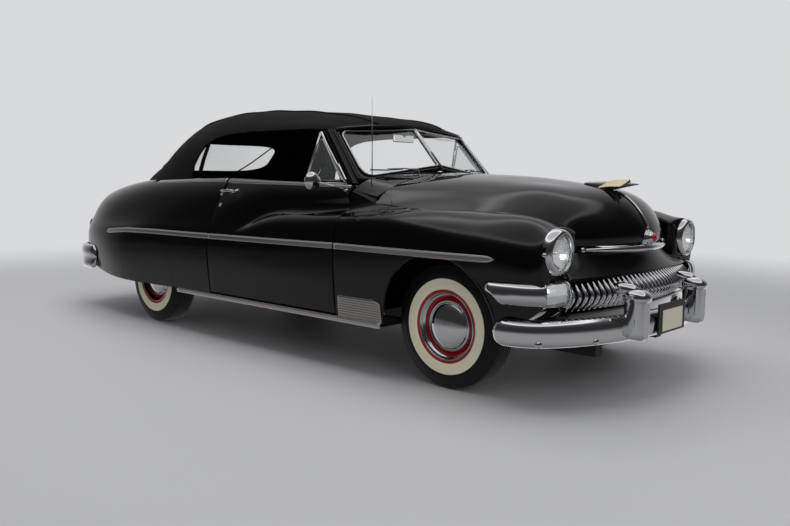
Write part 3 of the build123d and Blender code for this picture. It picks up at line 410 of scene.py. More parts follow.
# ---- Rear body -----------------------------------------------------------------------
# Quarter panels, deck and tail welded in one shell with the seat rise and the trunk floor.
# The tail rolls round to an upright rear face, and a skirt fills each wheel opening.
REAR = [  # x, deck crown, then belt, upper, crease, mid, shoulder, wide and sill
    (-290, (0, 1190), (763, 1151), (876, 965), (932, 820), (945, 790), (955, 760), (966, 700),
    (945, 337)),
    (-650, (0, 1182), (759, 1145), (874, 962), (932, 817), (946, 787), (956, 756), (967, 697),
    (946, 332)),
    (-1100, (0, 1168), (752, 1132), (867, 956), (932, 810), (946, 780), (957, 748), (968, 690),
    (948, 325)),
    (-1700, (0, 1124), (718, 1097), (845, 942), (916, 780), (935, 750), (946, 720), (956, 660),
    (935, 328)),
    (-2150, (0, 1084), (654, 1044), (788, 926), (854, 785), (870, 748), (881, 710), (888, 650),
    (868, 370)),
    (-2440, (0, 1002), (578, 966), (698, 868), (768, 748), (784, 712), (795, 676), (800, 616),
    (786, 420)),
    (-2582, (0, 900), (508, 860), (622, 772), (690, 700), (706, 668), (716, 634), (720, 586), (706, 455)),
    (-2648, (0, 792), (448, 757), (552, 694), (622, 652), (636, 636), (646, 608), (650, 572), (642, 485)),
    (-2662, (0, 660), (400, 640), (500, 610), (560, 590), (575, 580), (585, 572), (590, 560), (585, 530)),
    (-2655, (0, 540), (400, 532), (500, 525), (556, 518), (568, 514), (576, 510), (580, 506), (576, 498)),
    (-2625, (0, 470), (400, 470), (500, 470), (540, 470), (552, 470), (560, 470), (564, 470), (566, 470)),
]
rows = []
for row in REAR:
    (_, crown), (belt_y, belt_z) = row[1], row[2]
    quarter = (belt_y * 0.55, crown - (crown - belt_z) * 0.26)
    rows.append((row[0], row[1], quarter, *row[2:]))
rear_skin = loft(arrays(rows))
BELT = rear_skin.around[2]
LID_X, LID_Y, LID_Z, LID_GAP = -1.998, 0.557, 0.643, 0.003
tail = rear_skin.along[-1]
lid_along = float(along_of(rear_skin, LID_X))


def lid_side(places, grow):
    """Where the deck reaches the side of the lid."""
    return crossing(
        lambda v: rear_skin(places, v)[:, 1] - LID_Y - grow, np.zeros(len(places)),
        np.full(len(places), rear_skin.around[4])
    )


def lid_foot(places, grow):
    """How far along the tail the lid's lower edge lies, for places around it."""
    return crossing(
        lambda a: LID_Z - grow - rear_skin(a, places)[:, 2], np.full(len(places), rear_skin.along[5]),
        np.full(len(places), tail)
    )


side_around = np.linspace(BELT, rear_skin.around[-1], 64)
front_cut = np.array([door_rear(y, DOOR_GAP) for y in rear_skin(0.0, side_around)[:, 1]])

# Wheel opening that the skirt fills: (x, z) from its front foot to its rear foot
SKIRT = [(-0.757, 0.25), (-0.784, 0.36), (-0.808, 0.459), (-0.832, 0.56), (-0.87, 0.632), (-0.93, 0.664),
    (-0.997, 0.68), (-1.13, 0.702), (-1.263, 0.719), (-1.4, 0.718), (-1.49, 0.71), (-1.535, 0.685),
    (-1.549, 0.64), (-1.549, 0.25)]
skirt_x = np.array([p[0] for p in SKIRT])
skirt_z = np.array([p[1] for p in SKIRT])


def skirt_top(x):
    return np.interp(-x, -skirt_x[:-1], skirt_z[:-1])


# Strips of the side: from the door to the skirt, over the skirt, and behind it to the tail
full = rear_skin.around[-1]
share = np.linspace(0, 1, 24)[:, None]
strip_x = front_cut * (1 - share) + skirt_x[0] * share
grids = [rear_skin(along_of(rear_skin, strip_x), side_around[None, :])]
over = np.concatenate([np.linspace(skirt_x[0], skirt_x[5], 36),
    np.linspace(skirt_x[5], skirt_x[9], 24)[1:], np.linspace(skirt_x[9], skirt_x[12] - 0.0001, 20)[1:]])
over_along = along_of(rear_skin, over)


def skirt_edge(x, places, drop):
    """Places around the body on the upper edge of the skirt, or below it by a gap."""
    low, high = np.full(len(x), rear_skin.around[5]), np.full(len(x), full)
    return crossing(lambda v: skirt_top(x) - drop - rear_skin(places, v)[:, 2], low, high)


over_foot = skirt_edge(over, over_along, 0)
over_foot[0] = full
grids.append(rear_skin(over_along[:, None], fan(np.full(len(over), BELT), over_foot, 64)))
ahead = along_of(rear_skin, np.linspace(skirt_x[12] - 0.0002, LID_X + LID_GAP + 0.0003, 18))
grids.append(rear_skin(ahead[:, None], fan(np.full(len(ahead), BELT), np.full(len(ahead), full), 64)))
behind = np.linspace(float(along_of(rear_skin, LID_X + LID_GAP)), tail, 84)
grids.append(rear_skin(behind[:, None], fan(lid_side(behind, LID_GAP), np.full(len(behind), full), 76)))
# Deck in front of the lid, and the tail face under it
deck = along_of(rear_skin, np.linspace(-1.40, LID_X + LID_GAP, 26))
grids.append(rear_skin(deck[:, None], fan(np.zeros(len(deck)), np.full(len(deck), BELT), 34)))


def lid_field(first, last, grow, count):
    """Places along and around for the panel between two edges, inside the lid's side line."""
    q = np.linspace(0, 1, 40)[None, :]
    s = np.linspace(0, 1, count)[:, None]
    around = q * rear_skin.around[2] + 0 * s
    for _ in range(12):
        along = first(around.ravel()).reshape(around.shape) * (1 - s) + last(around.ravel()).reshape(
            around.shape) * s
        around = q * lid_side(along.ravel(), grow).reshape(along.shape)
    return along, around


grids.append(rear_skin(*lid_field(lambda v: lid_foot(v, LID_GAP), lambda v: np.full(len(v), tail),
    LID_GAP, 22)))
quarters = piece("quarter_panels", grids, PAINT, 0.005, 0.0016, (-1.4, 0.3, 0.6), twin=True, loose=3e-4)
settle(quarters, "root", "black_enamel")

# The tub inside the skins: trunk floor, wheel housings and seat rise, in the same black
tub = frame["nodes"]["rear_body"].copy()
tub.data = tub.data.copy()
tub.name = "body_tub"
bpy.context.collection.objects.link(tub)
build = bmesh.new()
build.from_mesh(tub.data)
bmesh.ops.remove_doubles(build, verts=build.verts, dist=1e-5)
build.normal_update()
for vertex in build.verts:
    vertex.co -= vertex.normal * 0.009
    vertex.co.y = min(max(vertex.co.y, -0.925), 0.925)
build.to_mesh(tub.data)
build.free()
tub.data.materials.clear()
tub.data.materials.append(finish("black primer, sprayed", "#101012", roughness=0.55))
settle(tub, "root", "black_enamel", "rear_body")

# ---- Fender skirts -------------------------------------------------------------------
# Pressed covers that drop into the rear wheel openings and latch from inside, flush with the body.
inside = np.concatenate([np.linspace(skirt_x[0] - 0.003, skirt_x[5], 30),
    np.linspace(skirt_x[5], skirt_x[9], 22)[1:], np.linspace(skirt_x[9], skirt_x[12] + 0.003, 18)[1:]])
inside_along = along_of(rear_skin, inside)
skirt_grid = rear_skin(inside_along[:, None], fan(skirt_edge(inside + 0.002, inside_along, 0.0035),
    np.full(len(inside), full), 34))
for side, sign in SIDES:
    skirt = piece(f"fender_skirt_{side}", [skirt_grid * (1, sign, 1)], PAINT, 0.006, 0.003,
        (-1.2, sign * 0.5, 0.5))
    settle(skirt, "root", "black_enamel", *stands_for(side, "fender_skirts"))

# ---- Trunk lid -----------------------------------------------------------------------
# A pressing hinged at its front edge that rolls over the tail, with a cast pull at its foot.
lid_grid = rear_skin(*lid_field(lambda v: np.full(len(v), lid_along), lambda v: lid_foot(v, 0.0),
    -LID_GAP, 78))
lid = piece("trunk_lid_panel", [lid_grid], PAINT, 0.005, 0.0016, (-2.2, 0.3, 0.6), twin=True)
settle(lid, "trunk_assembly", "black_enamel", "trunk_lid")

# ---- Cowl ----------------------------------------------------------------------------
# The fixed panel between the hood and the windshield, welded to the firewall and the hinge pillars.
COWL = [
    (998.5, (0, 1208.5), (300, 1198), (560, 1169), (700, 1134), (803, 1079)),
    (1080, (0, 1205), (300, 1189), (560, 1146), (695, 1102), (790, 1048)),
    (1154, (0, 1201.5), (300, 1180), (560, 1125.5), (690, 1073.5), (778, 1014)),
]
cowl_skin = loft(arrays(COWL))
cowl_grid = cowl_skin(np.linspace(0, cowl_skin.along[-1], 14)[:, None],
    np.linspace(0, cowl_skin.around[-1], 60)[None, :])
ledge_skin = loft(arrays([(922, (0, 1207), (280, 1197), (500, 1173), (640, 1150), (700, 1128)),
    (960, (0, 1208), (280, 1198), (500, 1175), (640, 1152), (706, 1131)),
    (999, (0, 1208.5), (280, 1199), (500, 1177), (640, 1152), (716, 1131))]))
ledge_grid = ledge_skin(np.linspace(0, ledge_skin.along[-1], 8)[:, None],
    np.linspace(0, ledge_skin.around[-1], 48)[None, :])
cowl = piece("cowl_top", [cowl_grid], PAINT, 0.004, 0.0016, (1.0, 0.3, 0.6), twin=True)
settle(cowl, "root", "black_enamel")
ledge = piece("cowl_ledge", [ledge_grid], PAINT, 0.004, 0.001, (1.0, 0.3, 0.6), twin=True)
settle(ledge, "root", "black_enamel")

# ---- Fabric top ----------------------------------------------------------------------
# Black convertible canvas, stretched over six bows and sewn along the roof rails.
# It is one continuous sheet, tacked round the rear belt and clamped to the windshield header.
TOP = [  # x, then crown, shoulder, bend, rail, flank and foot
    (822, (0, 1524), (470, 1499), (580, 1485), (658, 1458), (696, 1300), (714, 1120)),
    (700, (0, 1561), (474, 1533), (586, 1511), (668, 1476), (706, 1308), (722, 1121)),
    (580, (0, 1585), (476, 1556), (590, 1529), (673, 1485), (712, 1315), (728, 1122)),
    (300, (0, 1626), (480, 1593), (600, 1553), (682, 1496), (724, 1330), (738, 1125)),
    (-300, (0, 1670), (490, 1634), (605, 1586), (688, 1500), (734, 1335), (748, 1130)),
    (-850, (0, 1656), (480, 1602), (590, 1546), (676, 1462), (728, 1320), (746, 1130)),
    (-1200, (0, 1572), (455, 1506), (560, 1448), (642, 1370), (702, 1256), (737, 1130)),
    (-1500, (0, 1410), (405, 1352), (508, 1300), (588, 1242), (650, 1174), (690, 1108)),
    (-1760, (0, 1250), (350, 1220), (448, 1190), (518, 1160), (568, 1122), (612, 1080)),
    (-1930, (0, 1116), (200, 1110), (290, 1103), (350, 1092), (400, 1080), (440, 1068)),
]
rows = []
for row in TOP:
    (_, crown), (shoulder_y, shoulder_z) = row[1], row[2]
    quarter = (shoulder_y * 0.52, crown - (crown - shoulder_z) * 0.27)
    rows.append((row[0], row[1], quarter, *row[2:]))
top_skin = loft(arrays(rows))
WINDOW = [(0.9, 1.468), (0.64, 1.474), (0.5, 1.479), (-0.155, 1.482), (-0.4, 1.471), (-0.54, 1.447),
    (-0.655, 1.403), (-0.742, 1.329), (-0.803, 1.252), (-0.83, 1.163), (-0.84, 1.12)]
window_x = -np.array([p[0] for p in WINDOW])
window_z = np.array([p[1] for p in WINDOW])
top_x = np.concatenate([np.linspace(0.822, -0.6, 104), np.linspace(-0.6, -0.839, 50)[1:],
    np.linspace(-0.841, -1.93, 100)])
top_along = along_of(top_skin, top_x)
lowest = np.full(len(top_x), top_skin.around[-1])
cut = top_x > -0.84
lowest[cut] = crossing(
    lambda v: np.interp(-top_x[cut], window_x, window_z) - top_skin(top_along[cut], v)[:, 2],
    np.full(cut.sum(), top_skin.around[2]), lowest[cut],
)
top_grid = top_skin(top_along[:, None], fan(np.zeros(len(top_x)), lowest, 84))
# The cloth draws tight over each bow and sinks a little between them
BOWS_X = (0.56, 0.15, -0.26, -0.62, -0.98, -1.33)
bow_gap = np.interp(top_x, BOWS_X[::-1], np.arange(len(BOWS_X)), left=0, right=len(BOWS_X) - 1)
sink = np.sin(pi * (bow_gap % 1)) ** 2
roof = np.clip((top_grid[..., 2] - top_grid[:, -1:, 2]) / 0.12, 0, 1) ** 0.6
setback = 0.036 + 0.11 * (np.abs(top_grid[..., 1]) / 0.62) ** 2.4
top_grid[..., 0] -= setback * np.clip((top_grid[..., 0] - 0.45) / 0.372, 0, 1)
top_grid[..., 2] -= 0.005 * sink[:, None] * roof
top_grid[..., 1] -= 0.004 * sink[:, None] * (1 - roof) * (top_grid[..., 1] > 0.4)


def canvas(name, colour, thread):
    """Woven cloth: a dull, slightly hairy face over two crossed sets of threads."""
    made = finish(name, colour, roughness=0.95, sheen_weight=0.03, sheen_roughness=0.6,
        specular_ior_level=0.08)
    tree = made.node_tree
    where = add_node(tree, "ShaderNodeTexCoord").outputs["Object"]
    waves = []
    for axis in ("X", "Y"):
        wave = add_node(tree, "ShaderNodeTexWave", {"Vector": where, "Scale": 0.314 / thread,
            "Distortion": 0.6, "Detail": 1.0}, wave_type="BANDS", bands_direction=axis)
        waves.append(wave.outputs["Fac"])
    weave = add_node(tree, "ShaderNodeMath", operation="ADD")
    tree.links.new(waves[0], weave.inputs[0])
    tree.links.new(waves[1], weave.inputs[1])
    bump = add_node(tree, "ShaderNodeBump", {"Height": weave.outputs[0], "Strength": 0.25,
        "Distance": 0.0006})
    shader = tree.nodes["Principled BSDF"]
    tree.links.new(bump.outputs["Normal"], shader.inputs["Normal"])
    cloud = add_node(tree, "ShaderNodeTexNoise",
        {"Vector": where, "Scale": 3.5, "Detail": 6.0, "Roughness": 0.6})
    tint = add_node(tree, "ShaderNodeMapRange", {"Value": cloud.outputs["Fac"], "From Min": 0.3,
        "From Max": 0.7, "To Min": 0.8, "To Max": 1.3})
    shade = add_node(tree, "ShaderNodeVectorMath", {"Scale": tint.outputs["Result"]}, operation="SCALE")
    shade.inputs[0].default_value = linear(colour)[:3]
    tree.links.new(shade.outputs["Vector"], shader.inputs["Base Color"])
    return made


# Acrylic-faced twill; its 1 mm threads are drawn 4 mm apart so that they show
CANVAS = canvas("black top canvas, woven twill", "#0c0b0c", 0.004)
top = piece("canvas_top", [top_grid], CANVAS, 0.006, 0.002, (-0.4, 0.2, 1.2), twin=True)
settle(top, "root", "top_canvas", "soft_top")

# Welts sewn over the two roof seams, the hem above the side windows and the binding at the belt
for side, sign in SIDES:
    seam = top_grid[:, 40][top_x < 0.815] + (0, 0, 0.003)
    hem = top_grid[:, -1] + (0, 0.0045, 0.002)
    for label, path, size in (("roof_welt", seam, 0.006), ("hem_welt", hem, 0.0055)):
        welt = bead(f"{label}_{side}", path[::2] * (1, sign, 1), size, CANVAS)
        settle(welt, "root", "top_canvas")


# ---- Rear window ---------------------------------------------------------------------
# A wide flexible vinyl light, sewn into a bound opening of the rear curtain.
CLEAR = finish("clear sheet glass", "#f4f7f6", roughness=0.02, transmission_weight=1.0, ior=1.5)
BRIGHT = finish("chrome plate, polished", "#e3e4e6", metallic=1.0, roughness=0.05)
WINDOW_Z, WINDOW_W, WINDOW_H, WINDOW_TAPER = 1.33, 0.515, 0.12, 0.25


def curtain_point(y, z):
    """The outer face of the rear curtain at a width and a height."""
    wide, z = np.abs(np.asarray(y, float)), np.asarray(z, float)
    low = np.full(wide.shape, float(along_of(top_skin, -1.15)))
    high = np.full(wide.shape, float(along_of(top_skin, -1.9)))

    def around_at(along):
        return crossing(lambda v: top_skin(along, v)[..., 1] - wide, np.zeros(wide.shape),
            np.full(wide.shape, top_skin.around[4]))

    along = crossing(lambda a: z - top_skin(a, around_at(a))[..., 2], low, high)
    points = top_skin(along, around_at(along))
    points[..., 1] = y
    return points


turn = np.linspace(0, 2 * pi, 97)[:-1]
rise = np.sign(np.sin(turn)) * np.abs(np.sin(turn)) ** 0.42 * WINDOW_H
oval = np.stack([np.sign(np.cos(turn)) * np.abs(np.cos(turn)) ** 0.32 * (WINDOW_W - WINDOW_TAPER * rise),
    rise], 1)
# The canvas is opened along the light's edge
build = bmesh.new()
build.from_mesh(top.data)


def inside(co):
    wide = abs(co.y) / (WINDOW_W - WINDOW_TAPER * (co.z - WINDOW_Z))
    high = abs(co.z - WINDOW_Z) / WINDOW_H
    return co.x < -1.1 and wide < 1 and high < 1 and wide ** 5 + high ** 4 < 1


gone = [f for f in build.faces if all(inside(v.co) for v in f.verts)]
bmesh.ops.delete(build, geom=gone, context="FACES")
rim = [v for v in build.verts if v.is_boundary and inside(v.co)]
light_edge = curtain_point(oval[:, 0], WINDOW_Z + oval[:, 1])
for vertex in rim:
    vertex.co = light_edge[np.hypot(light_edge[:, 1] - vertex.co.y,
        light_edge[:, 2] - vertex.co.z).argmin()]
bmesh.ops.remove_doubles(build, verts=rim, dist=1e-5)
build.to_mesh(top.data)
build.free()
rings = []
for size in (0.0, 0.3, 0.6, 0.85, 0.985, 1.0):
    points = curtain_point(oval[:, 0] * size, WINDOW_Z + oval[:, 1] * size)
    rings.append(points + (0.002, 0, -0.002))
light = piece("rear_light", [np.array(rings)], CLEAR, 0.002, closed=True, centre=(-1.2, 0, 1.0))
settle(light, "root", "clear_glass", "rear_window")
loop = np.concatenate([rings[-1], rings[-1][:2]]) + (-0.003, 0, 0.003)
binding = bead("rear_light_binding", loop, 0.010, CANVAS, ends=False)
settle(binding, "root", "top_canvas")

# ---- Windshield ----------------------------------------------------------------------
# Two flat panes that meet at a chromed centre bar, in a painted frame with bright beads.
FOOT_MID, FOOT_SIDE = Vector((1.032, 0, 1.216)), Vector((0.966, 0.716, 1.132))
HEAD_MID, HEAD_SIDE = Vector((0.765, 0, 1.510)), Vector((0.668, 0.664, 1.468))
across = (FOOT_SIDE - FOOT_MID).normalized()
pane_normal = (FOOT_SIDE - FOOT_MID).cross(HEAD_MID - FOOT_MID).normalized()
if pane_normal.x < 0:
    pane_normal.negate()
rise = pane_normal.cross(across)
if rise.z < 0:
    rise.negate()


def flat(point):
    offset = Vector(point) - FOOT_MID
    return np.array([offset.dot(across), offset.dot(rise)])


def lifted(points, out=0.0):
    """Flat pane coordinates back in the car, moved out of the pane."""
    return np.array([list(FOOT_MID + across * u + rise * v + pane_normal * out) for u, v in points])


def rounded(corners, radii, count=9):
    """A closed outline whose corners are arcs."""
    made = []
    total = len(corners)
    for i, (corner, radius) in enumerate(zip(corners, radii)):
        a, b, c = np.array(corners[i - 1]), np.array(corner), np.array(corners[(i + 1) % total])
        u, w = (a - b) / np.linalg.norm(a - b), (c - b) / np.linalg.norm(c - b)
        half = np.arccos(np.clip(u @ w, -1, 1)) / 2
        reach = radius / np.tan(half)
        start, end = b + u * reach, b + w * reach
        for t in np.linspace(0, 1, count):
            made.append((1 - t) ** 2 * start + 2 * t * (1 - t) * b + t * t * end)
    return np.array(made)


outer = [flat(p) for p in (FOOT_MID, FOOT_SIDE, HEAD_SIDE, HEAD_MID)]
inner = [outer[0] + (0.010, 0.036), outer[1] + (-0.060, 0.030), outer[2] + (-0.040, -0.030),
    outer[3] + (0.010, -0.030)]
outline_in = rounded(inner, (0.012, 0.085, 0.065, 0.012))
outline_out = rounded(outer, (0.001, 0.03, 0.03, 0.001))
for side, sign in SIDES:
    flip = np.array((1, sign, 1))
    frame_grid = np.array([lifted(outline_out, 0.006), lifted(outline_in, 0.010),
        lifted(outline_in, -0.010), lifted(outline_out, -0.008)])
    surround = piece(f"windshield_surround_{side}", [np.concatenate([frame_grid, frame_grid[:1]]) * flip],
        PAINT, closed=True)
    face_out(surround)
    settle(surround, "root", "black_enamel", *stands_for(side, "windshield_frame"))
    ring = lifted(outline_in, 0.011)
    trim = bead(f"windshield_bead_{side}", np.concatenate([ring, ring[:2]]) * flip, 0.0065, BRIGHT,
        ends=False)
    settle(trim)
    middle_of = outline_in.mean(0)
    pane_rows = np.array([lifted(middle_of + (outline_in - middle_of) * s, 0.0) for s in (0.0, 1.0)])
    pane = piece(f"windshield_pane_{side}", [pane_rows * flip], CLEAR, 0.005, closed=True,
        centre=(0.3, 0, 1.2))
    pane.data.shade_flat()
    settle(pane, "root", "clear_glass", *stands_for(side, "windshield_glass"))
# Painted covers close each pillar back to the vent window
for side, sign in SIDES:
    front = np.array([(0.968, 0.712, 1.124), (0.820, 0.686, 1.300), (0.664, 0.660, 1.474)])
    back = np.array([(0.902, 0.744, 1.124), (0.760, 0.719, 1.294), (0.618, 0.690, 1.462)])
    crown = (front + back) / 2 + (0.010, 0.012, 0.010)
    within = crown - (0.030, 0.030, 0.026)
    loop = [(1 - t) ** 2 * front + 2 * t * (1 - t) * crown + t * t * back for t in np.linspace(0, 1, 9)]
    loop = np.array([*loop, (back + within) / 2, within, (front + within) / 2])
    cover = piece(f"pillar_cover_{side}", [loop.transpose(1, 0, 2) * (1, sign, 1)], PAINT, closed=True,
        centre=(0.76, sign * 0.66, 1.3))
    settle(cover, "root", "black_enamel")
bar = bead("windshield_centre_bar", [list(FOOT_MID + pane_normal * 0.01),
    list(HEAD_MID + pane_normal * 0.01)], 0.011, BRIGHT, flat=1.2)
settle(bar)
header = np.array([(0.778, 0, 1.512), (0.768, 0.2, 1.508), (0.742, 0.4, 1.498), (0.702, 0.58, 1.480),
    (0.676, 0.65, 1.466)])
header = np.concatenate([header[:0:-1] * (1, -1, 1), header])
rail = bead("top_header_rail", header, 0.012, PAINT, flat=1.4)
settle(rail, "root", "black_enamel")

# Wipers: pressed arms on spindles through the cowl, with rubber blades along the glass
RUBBER = finish("wiper rubber, moulded", "#151515", roughness=0.7)
for side, sign in SIDES:
    spindle = Vector((1.062, sign * 0.27, 1.197))
    elbow = spindle + Vector((0, 0, 0.022))
    tip = FOOT_MID + across * 0.46 + rise * 0.060 + pane_normal * 0.022
    tip = Vector((tip.x, sign * tip.y, tip.z))
    arm = bead(f"wiper_arm_{side}", [list(spindle - Vector((0, 0, 0.02))), list(elbow),
        list(elbow.lerp(tip, 0.5) + Vector((0.004, 0, 0.004))), list(tip)], [0.009, 0.008, 0.0045, 0.003],
        BRIGHT)
    settle(arm)
    wiped = ((0.33, 0.046), (0.46, 0.054), (0.59, 0.075))
    run = [FOOT_MID + across * u + rise * v + pane_normal * 0.014 for u, v in wiped]
    blade = bead(f"wiper_blade_{side}", [(p.x, sign * p.y, p.z) for p in run], 0.0045, RUBBER)
    settle(blade)
aerial = bead("aerial_mast", [(0.985, -0.62, 1.13), (0.985, -0.62, 1.40), (0.983, -0.62, 1.66)],
    [0.0035, 0.003, 0.002], BRIGHT)
settle(aerial, "root", "bright_plate", "cowl_fittings")


def turned(name, profile, base, axis, material, count=48, stretch=None):
    """A part turned from a profile of (radius, length) pairs about an axis from its base."""
    axis = Vector(axis).normalized()
    side = axis.orthogonal().normalized()
    other = axis.cross(side)
    angle = np.linspace(0, 2 * pi, count, endpoint=False)
    ring = np.cos(angle)[:, None] * np.array(side) + np.sin(angle)[:, None] * np.array(other)
    grid = np.array([np.array(base) + ring * r + np.array(axis) * h for r, h in profile])
    if stretch:
        grid = stretch(grid)
    return face_out(piece(name, [grid], material, closed=True))


foot = turned("aerial_foot", [(0, -0.02), (0.016, -0.02), (0.016, 0.004), (0.010, 0.014), (0.006, 0.024),
    (0, 0.024)], (0.985, -0.62, 1.130), (0, 0, 1), BRIGHT, 24)
settle(foot)

# ---- Bumpers -------------------------------------------------------------------------
# Heavy pressed-steel bars, chromed, that bow across the car and wrap round both corners.
# Fluted over-riders with domed caps are bolted through them to the frame horns.
def smooth(points, count):
    """A natural cubic through points, sampled evenly by length."""
    points = np.array(points, float)
    knots = np.concatenate([[0], np.cumsum(np.linalg.norm(np.diff(points, axis=0), axis=1))])
    return cardinal(knots, np.linspace(0, knots[-1], count)) @ points


def swept_bar(name, plan, section, material, count=90, taper=None):
    """A bar along a plan path, with a section of (outward, up) points, closed at both ends."""
    path = smooth(plan, count)
    tangent = np.gradient(path, axis=0)
    out = np.stack([tangent[:, 1], -tangent[:, 0], np.zeros(len(path))], 1)
    out /= np.linalg.norm(out, axis=1)[:, None]
    section = smooth(np.concatenate([section, section[:1]]), 34)[:-1]
    size = np.ones(len(path)) if taper is None else taper(np.linspace(0, 1, len(path)))
    centre = section.mean(0)
    rows = []
    for p, o, k in zip(path, out, size):
        ring = centre + (section - centre) * k
        rows.append(p + ring[:, :1] * o + ring[:, 1:] * (0, 0, 1.0))
    rows = [np.repeat(rows[0].mean(0)[None], len(section), 0)] + rows + [np.repeat(rows[-1].mean(0)[None],
        len(section), 0)]
    return face_out(piece(name, [np.array(rows)], material, closed=True))


def both_sides(half):
    """A plan path for the whole width, from the right end to the left, from its left half."""
    half = np.array(half, float)
    return np.concatenate([half[:0:-1] * (1, -1, 1), half])


def round_ends(length):
    """Ends of a bar drawn in over a share of its length."""
    return lambda s: np.sqrt(1 - (1 - np.clip(np.minimum(s, 1 - s) / length, 0, 1)) ** 2) * 0.92 + 0.08


front_plan = both_sides([(2.660, 0, 0), (2.648, 0.2, 0), (2.612, 0.42, 0), (2.552, 0.62, 0),
    (2.478, 0.765, 0), (2.385, 0.880, 0), (2.290, 0.934, 0), (2.225, 0.950, 0), (2.160, 0.958, 0)])
bar_section = np.array([(-0.036, 0.346), (-0.020, 0.331), (0.000, 0.336), (0.009, 0.356), (0.011, 0.382),
    (0.012, 0.410), (0.006, 0.438), (-0.012, 0.460), (-0.036, 0.468), (-0.030, 0.440), (-0.022, 0.400),
    (-0.026, 0.366)])
bar = swept_bar("front_bumper_bar", front_plan, bar_section, BRIGHT, 150, round_ends(0.03))
settle(bar, "root", "bright_plate", "front_bumper")
rear_plan = both_sides([(2.655, 0, 0), (2.650, 0.25, 0), (2.630, 0.48, 0), (2.585, 0.68, 0),
    (2.500, 0.815, 0), (2.370, 0.880, 0), (2.230, 0.898, 0), (2.115, 0.903, 0)]) * (-1, -1, 1)
rear_section = np.array([(-0.034, 0.366), (-0.014, 0.352), (0.004, 0.362), (0.010, 0.400), (0.006, 0.445),
    (0.012, 0.490), (0.006, 0.535), (-0.012, 0.560), (-0.034, 0.562), (-0.028, 0.520), (-0.022, 0.455),
    (-0.026, 0.400)])
bar = swept_bar("rear_bumper_bar", rear_plan, rear_section, BRIGHT, 130, round_ends(0.03))
settle(bar, "root", "bright_plate", "rear_bumper")


def over_rider(name, x, y, facing, low, high, depth, width):
    """A fluted upright with a domed cap, as rings from its foot to its crown."""
    angle = np.linspace(0, 2 * pi, 96, endpoint=False)
    front = np.clip(np.cos(angle), 0, 1)
    rings = []
    heights = [(low, 0.1, 0), (low + 0.002, 0.72, 0), (low + 0.012, 0.9, 1), (low + 0.04, 0.97, 1),
        (high - 0.06, 1.0, 1), (high - 0.052, 1.04, 0.3), (high - 0.044, 1.10, 0),
        (high - 0.024, 1.10, 0), (high - 0.010, 0.98, 0), (high + 0.002, 0.76, 0),
        (high + 0.010, 0.45, 0), (high + 0.013, 0.02, 0)]
    for z, size, flute in heights:
        c, s = np.cos(angle), np.sin(angle)
        u = np.sign(c) * np.abs(c) ** 0.62 * depth / 2
        v = np.sign(s) * np.abs(s) ** 0.62 * width / 2
        groove = 0.006 * flute * (np.cos(v / width * 2 * pi * 4) * 0.5 - 0.5) * (front > 0.25)
        rings.append(np.stack([x + facing * (u + groove) * size, y + v * size, np.full_like(u, z)], 1))
    return face_out(piece(name, [np.array(rings)], BRIGHT, closed=True))


FRONT_RIDER_Y, REAR_RIDER_Y = 0.362, 0.330
for side, sign in SIDES:
    settle(over_rider(f"front_over_rider_{side}", 2.646, sign * FRONT_RIDER_Y, 1, 0.338, 0.592, 0.125,
        0.100), "root", "bright_plate")
    arm = bead(f"front_over_rider_arm_{side}", [(x, sign * (FRONT_RIDER_Y + out), z) for x, out, z in (
        (2.648, 0, 0.572), (2.612, 0.002, 0.594), (2.560, 0.006, 0.600), (2.510, 0.010, 0.588))],
        [0.030, 0.034, 0.033, 0.036], BRIGHT, sides=24)
    settle(arm)
    settle(over_rider(f"rear_over_rider_{side}", -2.660, sign * REAR_RIDER_Y, -1, 0.340, 0.588, 0.098,
        0.092), "root", "bright_plate")
    for y, x in ((0.885, 2.392), (0.62, 2.556)):
        out = Vector((1, sign * (0.9 if y > 0.8 else 0.35), 0)).normalized()
        bolt = turned(f"bumper_bolt_{side}_{int(y * 100)}",
            [(0.017, 0), (0.016, 0.004), (0.010, 0.008), (0, 0.009)],
            Vector((x, sign * y, 0.352)) + out * 0.004, out, BRIGHT, 20)
        settle(bolt)

# Number plates, blank, on black backing pads
PLATE_BLACK = finish("black enamel plate, baked", "#0d0d0e", roughness=0.35)
PLATE_FACE = finish("blank plate, cream enamel", "#d9d2bd", roughness=0.4)


def slab(name, corner, size, material, edge=0.003):
    """A box between a low corner and its size, with rounded edges."""
    mesh = bpy.data.meshes.new(name)
    build = bmesh.new()
    bmesh.ops.create_cube(build, size=1)
    for vertex in build.verts:
        vertex.co = Vector([corner[i] + (vertex.co[i] + 0.5) * size[i] for i in range(3)])
    build.to_mesh(mesh)
    build.free()
    mesh.materials.append(material)
    mesh.shade_smooth()
    made = placed(name, mesh)
    bevel = made.modifiers.new("edge", "BEVEL")
    bevel.width, bevel.segments, bevel.harden_normals = edge, 3, True
    return made


settle(slab("front_plate_pad", (2.668, -0.165, 0.338), (0.010, 0.33, 0.165), PLATE_BLACK), "root",
    "chassis_black")
settle(slab("front_plate", (2.679, -0.125, 0.352), (0.003, 0.25, 0.115), PLATE_FACE, 0.001), "root",
    "dash_enamel")

